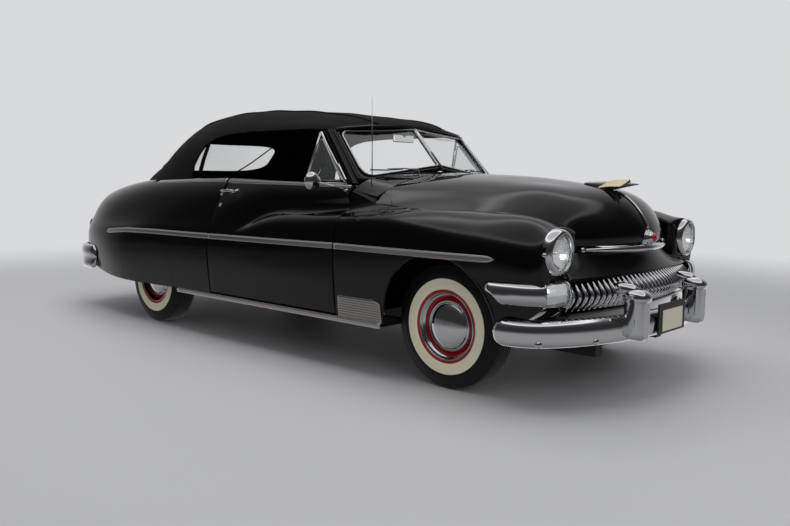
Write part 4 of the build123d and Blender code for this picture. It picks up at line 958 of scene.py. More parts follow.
# ---- Grille --------------------------------------------------------------------------
# Die-cast chromed teeth, each curved like a rib, stand in front of a dark bar below the hood.
# A clear parking lamp closes each end, and wing bars carry the line round the fenders.
def units_tree():
    """A node group that sets copies of a unit along a path and turns them to follow it."""
    tree = bpy.data.node_groups.new("units along a path", "GeometryNodeTree")
    names = {}
    for label, kind in (("Path", "Geometry"), ("Unit", "Object"), ("Count", "Int"),
        ("Finish", "Material")):
        names[label] = tree.interface.new_socket(label, in_out="INPUT",
            socket_type=f"NodeSocket{kind}").identifier
    tree.interface.new_socket("Units", in_out="OUTPUT", socket_type="NodeSocketGeometry")
    given = add_node(tree, "NodeGroupInput").outputs
    curve = add_node(tree, "GeometryNodeMeshToCurve", {"Mesh": given["Path"]})
    points = add_node(tree, "GeometryNodeCurveToPoints",
        {"Curve": curve.outputs["Curve"], "Count": given["Count"]}, mode="COUNT")
    facing = add_node(tree, "FunctionNodeAlignRotationToVector", {"Vector": points.outputs["Tangent"]},
        axis="X", pivot_axis="Z")
    unit = add_node(tree, "GeometryNodeObjectInfo", {"Object": given["Unit"]})
    copies = add_node(tree, "GeometryNodeInstanceOnPoints", {
        "Points": points.outputs["Points"], "Instance": unit.outputs["Geometry"],
        "Rotation": facing.outputs["Rotation"]})
    solid = add_node(tree, "GeometryNodeRealizeInstances", {"Geometry": copies.outputs["Instances"]})
    coated = add_node(tree, "GeometryNodeSetMaterial",
        {"Geometry": solid.outputs["Geometry"], "Material": given["Finish"]})
    add_node(tree, "NodeGroupOutput", {"Units": coated.outputs["Geometry"]})
    return tree, names


UNITS, UNIT_INPUTS = units_tree()


def repeated(name, path, unit, count, material):
    """One piece of copies of a unit, which faces -Y and runs on along +X, spaced along a path."""
    mesh = bpy.data.meshes.new(name + "_path")
    mesh.from_pydata([tuple(p) for p in path], [(i, i + 1) for i in range(len(path) - 1)], [])
    made = placed(name, mesh)
    modifier = made.modifiers.new("units", "NODES")
    modifier.node_group = UNITS
    for label, value in (("Unit", unit), ("Count", count), ("Finish", material)):
        modifier[UNIT_INPUTS[label]] = value
    made.update_tag()
    graph = bpy.context.evaluated_depsgraph_get()
    built = bpy.data.meshes.new_from_object(made.evaluated_get(graph))
    made.modifiers.clear()
    made.data = built
    built.name = name
    bpy.data.objects.remove(unit)
    return made


GRILLE_X, GRILLE_BOW = 2.604, 0.165
TEETH, TEETH_HALF_W = 35, 0.700
TOOTH_TOP, TOOTH_BOTTOM, TOOTH_MID, TOOTH_W = 0.655, 0.494, 0.573, 0.0165
LENS = finish("lamp lens, pressed clear glass", "#f2f4f2", roughness=0.03, transmission_weight=1.0,
    ior=1.5)


def grille_x(y):
    return GRILLE_X - GRILLE_BOW * (np.asarray(y) / 0.8) ** 2


rows = []
for t in np.linspace(0, 1, 25):
    z = TOOTH_BOTTOM + (TOOTH_TOP - TOOTH_BOTTOM) * t
    bulge = (z - TOOTH_MID) / (TOOTH_TOP - TOOTH_MID)
    front = -0.066 * abs(bulge) ** 1.6
    thick = TOOTH_W * min(1, 0.35 + 4 * min(t, 1 - t))
    ring = [(0.5, 0.060), (0.5, 0.022), (0.42, 0.009), (0.2, 0.001), (-0.2, 0.001), (-0.42, 0.009),
        (-0.5, 0.022), (-0.5, 0.060)]
    rows.append([(a * thick, front_y - front, z - TOOTH_MID) for a, front_y in ring])
tooth = piece("tooth", [np.array([[np.mean(rows[0], 0)] * 8, *rows, [np.mean(rows[-1], 0)] * 8])], BRIGHT,
    closed=True, centre=(0, 0.04, 0))
bpy.context.view_layer.update()
across_y = np.linspace(-TEETH_HALF_W, TEETH_HALF_W, 81)
tooth_path = np.stack([grille_x(across_y), across_y, np.full(81, TOOTH_MID)], 1)
teeth = repeated("grille_teeth", tooth_path, tooth, TEETH, BRIGHT)
settle(teeth, "root", "bright_plate", "grille")
DARK = finish("chassis black, brushed enamel", "#101011", roughness=0.55)
back = np.stack([grille_x(across_y) - 0.080, across_y, np.full(81, TOOTH_MID)], 1)
settle(bead("grille_centre_bar", back, 0.034, DARK, sides=24), "root", "chassis_black")

# Wing bars: from the teeth's end round the fender, with the rear end raked
wing_plan = [(2.464, 0.732, 0), (2.448, 0.800, 0), (2.408, 0.866, 0), (2.350, 0.914, 0),
    (2.290, 0.938, 0), (2.220, 0.953, 0), (2.152, 0.960, 0)]
WING_LOW, WING_HIGH = 0.530, 0.655
path = smooth(wing_plan, 90)
tangent = np.gradient(path, axis=0)
out = np.stack([-tangent[:, 1], tangent[:, 0], np.zeros(90)], 1)
out /= -np.linalg.norm(out, axis=1)[:, None]
bow = np.linspace(0, pi, 30)
section = [(0.5 * np.cos(a), -0.038 + 0.050 * np.sin(a) ** 0.75) for a in bow]
share = np.linspace(0, 1, 90)
lamp_end = 31
wing_rows, lamp_rows = [], []
for i, (p, o, s) in enumerate(zip(path, out, share)):
    small = 1 - 0.10 * s - 0.55 * np.clip((s - 0.965) / 0.035, 0, 1) ** 2
    rake = np.clip((s - 0.72) / 0.28, 0, 1)
    ring = []
    for up_share, depth in section:
        z = (WING_LOW + WING_HIGH) / 2 + up_share * (WING_HIGH - WING_LOW) * small
        along_shift = -rake * 0.105 * up_share
        ring.append(np.array(p) * (1, 1, 0) + o * depth * (0.4 + 0.6 * small) + (along_shift, 0, z))
    (lamp_rows if i < lamp_end else wing_rows).append(ring)
    if i == lamp_end - 1:
        wing_rows.append(ring)
close = [np.mean(wing_rows[-1], 0)] * len(section)
for side, sign in SIDES:
    wing = piece(f"grille_wing_{side}", [np.array([*wing_rows, close]) * (1, sign, 1)], BRIGHT, 0.003,
        centre=(2.1, sign * 0.5, 0.57))
    settle(wing)
    swell_out = 0.004 + 0.010 * np.sin(np.linspace(0.15, pi - 0.15, lamp_end))
    domed = np.array(lamp_rows) + out[:lamp_end, None] * swell_out[:, None, None]
    lens = piece(f"parking_lens_{side}", [domed * (1, sign, 1)], LENS, 0.004,
        centre=(2.1, sign * 0.5, 0.57))
    settle(lens, "root", "clear_glass")
    bowl = piece(f"parking_bowl_{side}", [np.array(lamp_rows)[:, 1:-1] * (1, sign, 1) - (0.012, 0, 0)],
        BRIGHT, 0.002, centre=(2.1, sign * 0.5, 0.57))
    settle(bowl)
    for label, row in (("inner", lamp_rows[0]), ("outer", lamp_rows[-1])):
        settle(bead(f"parking_bezel_{label}_{side}", np.array(row) * (1, sign, 1), 0.006, BRIGHT))

# The black panel between the hood's lip and the teeth, swept from one plan line to the other
lip_y = np.linspace(-0.585, 0.585, 61)
lip_x = 2.512 - 0.180 * (np.abs(lip_y) / 0.585) ** 1.9
low_x = grille_x(lip_y) - 0.060
panel = []
for t in np.linspace(0, 1, 15):
    x = lip_x * (1 - t) + low_x * t - 0.014 * sin(pi * t) - 0.012
    panel.append(np.stack([x, lip_y * (1 + 0.2 * t), np.full(61, 0.784 - t * 0.130)], 1))
valance = piece("nose_valance", [np.array(panel)], PAINT, 0.003, centre=(1.8, 0, 0.7))
settle(valance, "root", "black_enamel", "nose_panel")
gravel = []
for t in np.linspace(0, 1, 8):
    gravel.append(np.stack([grille_x(lip_y) - 0.070 - 0.10 * t, lip_y * 1.2,
        np.full(61, 0.488 - t * 0.12)], 1))
settle(piece("splash_pan", [np.array(gravel)], PAINT, 0.003, centre=(1.8, 0, 0.7)), "root",
    "black_enamel")
shroud = []
for t in np.linspace(0, 1, 6):
    shroud.append(np.stack([grille_x(lip_y) - 0.12, lip_y * 1.2, np.full(61, 0.66 - t * 0.19)], 1))
settle(piece("grille_shroud", [np.array(shroud)], DARK, 0.003, centre=(1.8, 0, 0.6)), "root",
    "chassis_black")

# ---- Headlamps -----------------------------------------------------------------------
# Sealed-beam lamps: a pressed chrome rim with a peaked top over a domed, fluted glass.
LENS_R, LENS_DOME, FLUTE_PITCH = 0.0925, 0.026, 0.0125
for side, sign in SIDES:
    seat = (LAMP_X, sign * LAMP_Y, LAMP_Z)

    def peak(grid):
        over = np.clip((grid[..., 2:] - LAMP_Z) / SEAT_R, 0, 1)
        reach = np.clip((grid[..., :1] - LAMP_X) / 0.03, 0, 1)
        return grid + over ** 1.5 * reach * np.array((0.014, 0, 0.002))

    rim = turned(f"headlamp_rim_{side}", [(SEAT_R + 0.001, -0.012), (SEAT_R + 0.002, 0.002),
        (SEAT_R - 0.002, 0.013), (0.113, 0.024), (0.105, 0.031), (0.098, 0.034), (0.0935, 0.033),
        (0.0905, 0.028), (0.0905, 0.004), (0.100, -0.012)], seat, (1, 0, 0), BRIGHT, 72, peak)
    settle(rim, "root", "bright_plate", *stands_for(side, "front_lamps"))
    radius = np.linspace(0, LENS_R, 23)[:, None]
    angle = np.linspace(0, 2 * pi, 73)[:-1]
    y, z = radius * np.cos(angle), radius * np.sin(angle)
    flutes = 0.0009 * np.sin(2 * pi * y / FLUTE_PITCH) * np.where(np.abs(z) > 0.012, 1, 0.3)
    dome = LENS_DOME * (1 - (radius / LENS_R) ** 2) + flutes * (1 - (radius / LENS_R) ** 6)
    glass = np.stack([LAMP_X + 0.021 + dome, sign * LAMP_Y + y, LAMP_Z + z], 2)
    lens = piece(f"headlamp_lens_{side}", [glass], LENS, 0.003, closed=True,
        centre=(2.0, sign * LAMP_Y, LAMP_Z))
    settle(lens, "root", "clear_glass")
    bowl = turned(f"headlamp_bowl_{side}", [(0.092, 0.016), (0.083, 0.0), (0.066, -0.018),
        (0.045, -0.031), (0.02, -0.039), (0, -0.041)], seat, (1, 0, 0), BRIGHT, 64)
    bowl.modifiers.new("wall", "SOLIDIFY").thickness = 0.002
    settle(bowl)
    bulb = turned(f"headlamp_bulb_{side}", [(0, -0.04), (0.011, -0.04), (0.011, -0.012), (0.009, -0.004),
        (0, -0.001)], seat, (1, 0, 0), BRIGHT, 24)
    settle(bulb)
    ear = turned(f"headlamp_ear_{side}", [(0, -0.012), (0.011, -0.010), (0.013, 0.002), (0.010, 0.012),
        (0, 0.016)], (LAMP_X + 0.004, sign * (LAMP_Y + SEAT_R + 0.004), LAMP_Z - 0.004),
        (1, sign * 0.4, 0), BRIGHT, 24)
    settle(ear)

# ---- Hood ornaments ------------------------------------------------------------------
# Die-cast chromed trim on the hood: a lip with ball ends, a stepped medallion with a red
# jewel, a centre strip, and a plain winged spear of no maker's design.
JEWEL = finish("red jewel, cast acrylic", "#a01218", roughness=0.08, coat_weight=1.0, coat_roughness=0.03)
lip_plan = both_sides([(2.534, 0, 0.790), (2.514, 0.164, 0.790), (2.468, 0.315, 0.791),
    (2.396, 0.462, 0.792)])
lip_path = smooth(lip_plan, 70)
lip_size = 0.0095 + 0.0120 * np.cos(np.linspace(-pi / 2, pi / 2, 70))
hood_lip = bead("hood_lip", lip_path, lip_size, BRIGHT, sides=20)
settle(hood_lip, "hood_assembly", "bright_plate", "hood_trim")
for side, sign in SIDES:
    ball = turned(f"hood_lip_end_{side}", [(0, -0.016), (0.013, -0.011), (0.0165, 0), (0.013, 0.011),
        (0, 0.016)], (2.386, sign * 0.478, 0.792), (0.55, sign * 0.83, 0), BRIGHT, 28)
    settle(ball, "hood_assembly")
MEDALLION_AT, MEDALLION_AXIS = (2.496, 0, 0.836), (1, 0, 0.14)
STEP_IN, STEP_OUT = 0.0075, 0.0095
steps = [(0.066, -0.030), (0.067, 0.004)]
for k in range(5):
    r, h = 0.064 - k * STEP_IN, 0.006 + k * STEP_OUT
    steps += [(r, h), (r - 0.0008, h + 0.0055), (r - 0.0045, h + 0.0070)]
steps += [(0.029, 0.052), (0.027, 0.060), (0.022, 0.061)]
medallion = turned("hood_medallion", steps, MEDALLION_AT, MEDALLION_AXIS, BRIGHT, 64)
settle(medallion, "hood_assembly")
jewel = turned("hood_jewel", [(0.0250, 0.048), (0.0240, 0.062), (0.0180, 0.070), (0.0100, 0.075),
    (0, 0.076)], MEDALLION_AT, MEDALLION_AXIS, JEWEL, 40)
settle(jewel, "hood_assembly", "red_lens")
centre_line = hood_grid[:, 70]
picked = centre_line[(centre_line[:, 0] > 2.31) & (centre_line[:, 2] > 0.885)]
strip_size = np.interp(np.linspace(0, 1, len(picked)), (0, 0.15, 1), (0.003, 0.0075, 0.0095))
strip = bead("hood_centre_strip", picked + (0.002, 0, 0.002), strip_size, BRIGHT, sides=14)
settle(strip, "hood_assembly")
GILT = finish("brass plate, buffed", "#efe0bd", metallic=1.0, roughness=0.45)
SATIN = finish("chrome plate, satin", "#e9e9ea", metallic=1.0, roughness=0.55)
body_rows = []
for x, wide, low, high in ((2.456, 0.002, 1.134, 1.138), (2.430, 0.010, 1.129, 1.143),
    (2.37, 0.016, 1.117, 1.149), (2.30, 0.018, 1.104, 1.152),
                           (2.22, 0.016, 1.112, 1.151), (2.16, 0.012, 1.124, 1.148),
                           (2.115, 0.003, 1.136, 1.143)):
    angle = np.linspace(0, 2 * pi, 28, endpoint=False)
    body_rows.append(np.stack([np.full(28, x), wide * np.cos(angle),
        (low + high) / 2 + (high - low) / 2 * np.sin(angle)], 1))
body_rows = np.array(body_rows)
knots = np.arange(len(body_rows), dtype=float)
body_rows = np.einsum("ij,jkc->ikc", cardinal(knots, np.linspace(0, knots[-1], 30)), body_rows)
spear = piece("hood_ornament", [body_rows], SATIN, closed=True, centre=(2.28, 0, 1.13))
face_out(spear, close=True)
settle(spear, "hood_assembly")
for side, sign in SIDES:
    wing_grid = []
    for t in np.linspace(0, 1, 14):
        nose, tail = 2.398 - 0.030 * t ** 2, 2.275 - 0.045 * t
        chord = np.linspace(0, 1, 12)
        x = nose + (tail - nose) * chord
        z = 1.163 - 0.040 * t - 0.010 * chord + 0.004 * np.sin(pi * chord)
        wing_grid.append(np.stack([x, np.full(12, sign * (0.001 + 0.062 * t)), z], 1))
    wing = piece(f"ornament_wing_{side}", [np.array(wing_grid)], GILT, 0.004, 0.0012,
        centre=(2.25, 0, 1.0))
    settle(wing, "hood_assembly")

# ---- Wheels and tyres ----------------------------------------------------------------
# Bias-ply tyres with wide cream walls on pressed-steel wheels in deep red enamel.
# Each wheel has a chromed trim ring and a domed cap held by spring nubs.
RUBBER_BLACK = finish("tyre rubber, moulded black", "#131314", roughness=0.62, specular_ior_level=0.35)
RUBBER_CREAM = finish("white-wall rubber, buffed cream", "#e6e0c6", roughness=0.5)
WHEEL_RED = finish("wheel enamel, deep red, sprayed", "#a2131a", roughness=0.25, coat_weight=0.6,
    coat_roughness=0.05)
TYRE_R, HUB_Z = 0.3515, 0.352
WALL_IN, WALL_OUT = 0.206, 0.267
TYRE = [  # (outward from the middle, radius) round the outer half, from the bead to the tread's edge
    (0.074, 0.196), (0.083, 0.203), (0.088, 0.2055), (0.0905, 0.214), (0.0915, 0.232), (0.0915, 0.250),
    (0.0912, WALL_OUT - 0.001),
    (0.0918, WALL_OUT + 0.0015), (0.0910, 0.278), (0.088, 0.294), (0.083, 0.309), (0.0775, 0.320),
    (0.0745, 0.3285), (0.0725, 0.336),
]
wheel_x = {"front": 1.760, "rear": -1.237}
wheel_y = {"front": 0.743, "rear": 0.762}
ribs = [(0.0700, 0.3455), (0.0560, 0.3490), (0.0500, 0.3492), (0.0485, 0.3425), (0.0445, 0.3425),
    (0.0430, 0.3500), (0.0265, 0.3510), (0.0250, 0.3435), (0.0210, 0.3435), (0.0195, 0.3513),
    (0.0030, TYRE_R), (0.0020, 0.3440)]
tyre_profile = TYRE + ribs
tyre_profile = tyre_profile + [(-a, r) for a, r in tyre_profile[::-1]]
for end in ("front", "rear"):
    for side, sign in SIDES:
        hub = (wheel_x[end], sign * wheel_y[end], HUB_Z)
        body = f"wheel_{end}_{side}_body"

        def lathe(name, profile, material, count=96):
            return turned(f"{name}_{end}_{side}", [(r, a) for a, r in profile], hub, (0, sign, 0),
                material, count)

        tyre = lathe("tyre_casing", tyre_profile, RUBBER_BLACK, 160)
        tyre.data.materials.append(RUBBER_CREAM)
        for face in tyre.data.polygons:
            spot = face.center - Vector(hub)
            radius = sqrt(spot.x ** 2 + spot.z ** 2)
            if WALL_IN - 0.001 < radius < WALL_OUT and spot.y * sign > 0:
                face.material_index = 1
        settle(tyre, body, "tyre_rubber", f"tyre_{end}_{side}")
        disc = lathe("wheel_disc", [(0.077, 0.196), (0.0855, 0.2045), (0.0880, 0.2035), (0.0870, 0.197),
            (0.080, 0.190), (0.062, 0.186), (0.052, 0.182), (0.040, 0.176), (0.032, 0.168),
            (0.031, 0.160), (0.040, 0.150), (0.048, 0.142), (0.050, 0.134), (0.046, 0.120), (0.044, 0.06),
            (0.044, 0.0), (0.030, 0.0), (0.030, 0.06), (0.032, 0.120), (0.030, 0.150), (0.018, 0.168),
            (-0.060, 0.178), (-0.078, 0.186), (-0.086, 0.2035), (-0.083, 0.2045), (-0.074, 0.196),
            (-0.055, 0.184), (0.040, 0.184), (0.060, 0.190)], WHEEL_RED)
        settle(disc, body, "wheel_red", f"wheel_{end}_{side}")
        trim_ring = lathe("trim_ring", [(0.0820, 0.1895), (0.0856, 0.1885), (0.0858, 0.1850),
            (0.0815, 0.1825), (0.0730, 0.1805), (0.0670, 0.1775), (0.0625, 0.1735), (0.0600, 0.1690),
            (0.0575, 0.1687), (0.0600, 0.1750), (0.0650, 0.1805), (0.0770, 0.1850)], BRIGHT)
        settle(trim_ring, body)
        cap = lathe("hub_cap", [(0.050, 0.1420), (0.0560, 0.1418), (0.0585, 0.1395), (0.0580, 0.1370),
            (0.0560, 0.1345), (0.0575, 0.1310), (0.0650, 0.1280), (0.0700, 0.1220), (0.0780, 0.1065),
            (0.0860, 0.0830), (0.0910, 0.0570), (0.0942, 0.0300), (0.0952, 0.0100), (0.0954, 0.0)],
            BRIGHT)
        cap.modifiers.new("wall", "SOLIDIFY").thickness = 0.002
        settle(cap, body)
        stem_at = Vector(hub) + Vector((0.148, sign * 0.052, -0.088))
        stem = turned(f"valve_stem_{end}_{side}", [(0, 0.0), (0.005, 0.0), (0.005, 0.022),
            (0.0035, 0.024), (0.0035, 0.036), (0, 0.036)], stem_at, (-0.4, sign * 0.8, 0.2), RUBBER_BLACK,
            14)
        settle(stem, body, "tyre_rubber")

# ---- Side mouldings ------------------------------------------------------------------
# A ribbed bright spear runs the length of each side at the shoulder, in stainless steel.
# Rocker strips, ribbed gravel guards and a belt strip below the top go with it.
STEEL = finish("stainless trim, rolled and buffed", "#dcd6d0", metallic=1.0, roughness=0.34)
SPEAR = np.array([(2.155, 0.758), (1.0, 0.758), (-0.305, 0.745), (-1.1, 0.741), (-1.48, 0.733),
    (-1.81, 0.708)])
SPEAR_H, SPEAR_END = 0.036, -1.812
ROCKER_REAR, GUARD_REAR, GUARD_FRONT = -0.735, 1.024, 1.384
GUARD_LOW, GUARD_H, RIB_PITCH = 0.334, 0.132, 0.0147


def on_skin(skin, x, z):
    """Points of a side skin at a place along the car and a height."""
    along = along_of(skin, x)
    start = np.full(len(x), skin.around[1])
    around = crossing(lambda v: z - skin(along, v)[:, 2], start, np.full(len(x), skin.around[-1]))
    return skin(along, around)


def spear_piece(name, skin, x0, x1, body, nodes=(), tip=None):
    """A length of spear: a channel with a proud edge above and below a ribbed middle."""
    x = np.linspace(x0, x1, max(12, int(abs(x1 - x0) / 0.02)))
    z = np.interp(-x, -SPEAR[:, 0], SPEAR[:, 1])
    profile = [(-0.5, -0.001), (-0.5, 0.0055), (-0.44, 0.0085), (-0.36, 0.0088), (-0.29, 0.0062),
        (-0.2, 0.0052), (-0.1, 0.0066), (0, 0.0052), (0.1, 0.0066), (0.2, 0.0052), (0.29, 0.0062),
        (0.36, 0.0088), (0.44, 0.0085), (0.5, 0.0055), (0.5, -0.001)]
    size = np.ones(len(x)) if tip is None else tip(x)
    rows = [on_skin(skin, x, z + up * SPEAR_H * size) + (0, depth, 0) for up, depth in profile]
    rows = np.array(rows).transpose(1, 0, 2)
    rows = np.concatenate([rows[:1] - (0, 0.010, 0), rows, rows[-1:] - (0, 0.010, 0)])
    for side, sign in SIDES:
        made = piece(f"{name}_{side}", [rows * (1, sign, 1)], STEEL, centre=(0, 0, 0.7))
        settle(made, body.format(side=side), "bright_plate", *(nodes if side == "left" else ()))


spear_piece("fender_spear", fender_skin, 1.004, 2.155, "root", ("side_mouldings",),
    lambda x: np.interp(x, (2.085, 2.12, 2.14, 2.155), (1.0, 0.92, 0.55, 0.10)))
door_rear_at_spear = float(door_rear(0.965, 0))
spear_piece("door_spear", door_skin, door_rear_at_spear + 0.004, 0.989, "door_{side}_assembly")
spear_piece("quarter_spear", rear_skin, SPEAR_END, door_rear_at_spear - 0.008, "root", (),
    lambda x: np.interp(x, (SPEAR_END, -1.800, -1.77), (0.25, 0.8, 1.0)))

for side, sign in SIDES:
    flip = np.array((1, sign, 1))
    strip_x = np.linspace(ROCKER_REAR, GUARD_FRONT - 0.002, 80)
    rocker = []
    for z, y in ((0.301, 0.944), (0.303, 0.953), (0.309, 0.957), (0.315, 0.954), (0.322, 0.957),
        (0.330, 0.956), (0.3345, 0.950), (0.335, 0.943)):
        rocker.append(np.stack([strip_x, np.full(80, y), np.full(80, z)], 1))
    made = piece(f"rocker_strip_{side}", [np.array(rocker) * flip], STEEL, 0.001, centre=(0.3, 0, 0.32))
    settle(made, "root", "bright_plate", *stands_for(side, "rocker_mouldings"))
    # Gravel guard: a ribbed shield on the fender ahead of the door
    across_x = np.linspace(0, 1, 61)
    rows = []
    for t in np.linspace(0, 1, 71):
        z = GUARD_LOW + GUARD_H * t
        rear = GUARD_REAR + 0.012 * np.clip((t - 0.86) / 0.14, 0, 1) ** 2
        front = GUARD_FRONT - 0.006 * t - 0.060 * np.clip((t - 0.80) / 0.20, 0, 1) ** 2
        x = rear + (front - rear) * across_x
        base = on_skin(fender_skin, x, np.full(61, max(z, 0.338)))
        inside_edge = np.clip(np.minimum(np.minimum(across_x, 1 - across_x) * (front - rear),
            min(t, 1 - t) * GUARD_H) / 0.010, 0, 1)
        rib = 0.0022 * sin(2 * pi * t * GUARD_H / RIB_PITCH) * (inside_edge >= 1)
        rows.append(np.stack([x, base[:, 1] + 0.004 + 0.005 * np.sqrt(inside_edge) + rib, np.full(61, z)],
            1))
    guard = piece(f"gravel_guard_{side}", [np.array(rows) * flip], STEEL, 0.0015, centre=(1.2, 0, 0.4))
    settle(guard)
    # Belt strip: from the foot of the top along the quarter, then along the door
    for label, skin, x0, x1, body in (("quarter", rear_skin, -0.320, -1.28, "root"),
        ("door", door_skin, 0.985, -0.300, f"door_{side}_assembly")):
        x = np.linspace(x0, x1, 60)
        belt_around = skin.around[2 if label == "quarter" else 0]
        base, drop = (skin(along_of(skin, x), np.full(60, belt_around + down)) for down in (0, 0.026))
        rows = [base + (0, -0.003, 0.001), base + (0, 0.002, 0.006),
            base * 0.75 + drop * 0.25 + (0, 0.005, 0.005), base * 0.35 + drop * 0.65 + (0, 0.006, 0.003),
            drop + (0, 0.003, 0), drop + (0, -0.004, 0)]
        made = piece(f"belt_strip_{label}_{side}", [np.array(rows) * flip], STEEL, 0.001,
            centre=(0.3, 0, 1.0))
        settle(made, body)

# ---- Door fittings -------------------------------------------------------------------
# Vent windows in chromed channels, pull handles with a push button, key locks and mirrors.
VENT_LEAN = 0.16
for side, sign in SIDES:
    flip = np.array((1, sign, 1))
    body = f"door_{side}_assembly"

    def vent_point(x, z):
        return (x, sign * (0.752 - VENT_LEAN * (z - 1.112)), z)

    for label, points, radius, node in (
        ("post", ((0.497, 1.10), (0.545, 1.27), (0.598, 1.450)), 0.009, (f"door_{side}_trim",)),
        ("slope", ((0.602, 1.452), (0.74, 1.293), (0.882, 1.128)), 0.009, ()),
        ("sill", ((0.49, 1.128), (0.68, 1.126), (0.885, 1.122)), 0.008, ()),
    ):
        run = [vent_point(x, z) for x, z in points]
        channel = bead(f"vent_{label}_{side}", run, radius, BRIGHT, sides=12)
        settle(channel, body, "bright_plate", *node)
    light_outline = [(0.524, 1.146), (0.612, 1.422), (0.832, 1.158), (0.826, 1.144)]
    inner_ring = rounded(light_outline, (0.020, 0.018, 0.006, 0.012), 7)
    ring = np.array([vent_point(x, z) for x, z in inner_ring])
    inner_frame = bead(f"vent_frame_{side}", np.concatenate([ring, ring[:2]]), 0.0055, BRIGHT, ends=False)
    settle(inner_frame, body)
    middle_of = ring.mean(0)
    sheet = np.array([middle_of + (ring - middle_of) * s for s in (0.0, 1.0)])
    pane = piece(f"vent_pane_{side}", [sheet], CLEAR, 0.004, closed=True, centre=(0.6, 0, 1.2))
    pane.data.shade_flat()
    settle(pane, body, "clear_glass")
    latch = bead(f"vent_latch_{side}", [vent_point(0.60, 1.150), vent_point(0.625, 1.185),
        vent_point(0.640, 1.215)], [0.005, 0.004, 0.003], BRIGHT)
    settle(latch, body)
    # Pull handle on its two feet, with the lock below it
    lever = bead(f"door_handle_{side}", np.array([(-0.262, 0.874, 1.064), (-0.235, 0.880, 1.065),
        (-0.18, 0.882, 1.066), (-0.140, 0.876, 1.066), (-0.118, 0.862, 1.066)]) * flip,
        [0.010, 0.010, 0.0085, 0.0095, 0.008], BRIGHT, sides=18)
    settle(lever, body)
    for label, x in (("rear", -0.250), ("front", -0.130)):
        foot_at = Vector((x, sign * 0.826, 1.062))
        foot = turned(f"door_handle_foot_{label}_{side}",
            [(0.0, 0), (0.019, 0), (0.018, 0.010), (0.0125, 0.020), (0.0105, 0.050), (0, 0.052)], foot_at,
            (0, sign, 0.0), BRIGHT, 28)
        settle(foot, body)
    button = turned(f"door_button_{side}", [(0, 0), (0.011, 0), (0.011, 0.012), (0.008, 0.016),
        (0, 0.017)], (-0.250, sign * 0.868, 1.042), (0, sign, -0.3), BRIGHT, 24)
    settle(button, body)
    lock = turned(f"door_lock_{side}", [(0, -0.01), (0.013, -0.01), (0.0135, 0.003), (0.010, 0.008),
        (0.004, 0.008), (0.0035, 0.005), (0, 0.005)], on_skin(door_skin, np.array([-0.262]),
        np.array([0.968]))[0] * flip, (0, sign, 0.25), BRIGHT, 28)
    settle(lock, body)
    # Round mirror on a long arm, clamped at the door's front edge
    head_at, foot_at = np.array((0.850, 0.990, 1.140)) * flip, np.array((0.955, 0.800, 1.080)) * flip
    arm = bead(f"mirror_arm_{side}", [foot_at, foot_at * 0.5 + head_at * 0.5 + (0, 0, 0.004), head_at],
        [0.0075, 0.006, 0.0055], BRIGHT, sides=14)
    settle(arm, body)
    head = turned(f"mirror_head_{side}", [(0.0, -0.016), (0.050, -0.016), (0.0555, -0.014),
        (0.0575, -0.008), (0.056, 0.0), (0.049, 0.012), (0.034, 0.023), (0.016, 0.029), (0, 0.031)],
        head_at, (1, 0, 0), BRIGHT, 48)
    settle(head, body)
    clamp = turned(f"mirror_foot_{side}", [(0, -0.012), (0.018, -0.012), (0.019, 0.0), (0.014, 0.010),
        (0.008, 0.018), (0, 0.018)], foot_at, (-0.4, sign * 0.8, 0.3), BRIGHT, 24)
    settle(clamp, body)

# ---- Tail ----------------------------------------------------------------------------
# Upright tail lamps in chromed bezels, and a pull handle on the lid's rear face.
RED_LENS = finish("tail lens, moulded red", "#8d0d10", roughness=0.12, coat_weight=0.8,
    coat_roughness=0.04)
TAIL_Y, TAIL_Z, TAIL_HALF_W, TAIL_HALF_H = 0.655, 0.69, 0.026, 0.074
ROUND_FROM = 0.55  # share of a lamp's depth at which its face begins to round over
for side, sign in SIDES:
    for name, grow, x0, x1, material, slot in (("bezel", 0.010, -2.592, -2.652, BRIGHT, "bright_plate"),
        ("lens", 0.0, -2.630, -2.670, RED_LENS, "red_lens")):
        a = np.linspace(0, 2 * pi, 60, endpoint=False)
        y = (TAIL_HALF_W + grow) * np.sign(np.cos(a)) * np.abs(np.cos(a)) ** 0.7
        z = (TAIL_HALF_H + grow) * np.sign(np.sin(a)) * np.abs(np.sin(a)) ** 0.8
        rings = []
        for t in np.linspace(0, 1, 10):
            over = max(0, t - ROUND_FROM) / (1 - ROUND_FROM)
            scale = max(sqrt(max(0, 1 - over ** 2)), 0.001)
            rings.append(np.stack([np.full(60, x0 + (x1 - x0) * t), sign * TAIL_Y + y * scale,
                TAIL_Z + z * scale], 1))
        lamp = piece(f"tail_{name}_{side}", [np.array(rings)], material, closed=True,
            centre=(-2.5, sign * TAIL_Y, TAIL_Z))
        settle(lamp, "root", slot, *(stands_for(side, "tail_lamps") if name == "bezel" else ()))
grip = bead("trunk_handle_bar", [(-2.645, -0.075, 0.785), (-2.674, -0.06, 0.785), (-2.680, 0, 0.785),
    (-2.674, 0.06, 0.785), (-2.645, 0.075, 0.785)], [0.010, 0.011, 0.012, 0.011, 0.010], BRIGHT, sides=16)
settle(grip, "trunk_assembly", "bright_plate", "trunk_handle")
boss = turned("trunk_lock", [(0, -0.02), (0.016, -0.02), (0.017, 0.004), (0.013, 0.010), (0.004, 0.010),
    (0.003, 0.006), (0, 0.006)], (-2.654, 0, 0.735), (-1, 0, 0.05), BRIGHT, 28)
settle(boss, "trunk_assembly")

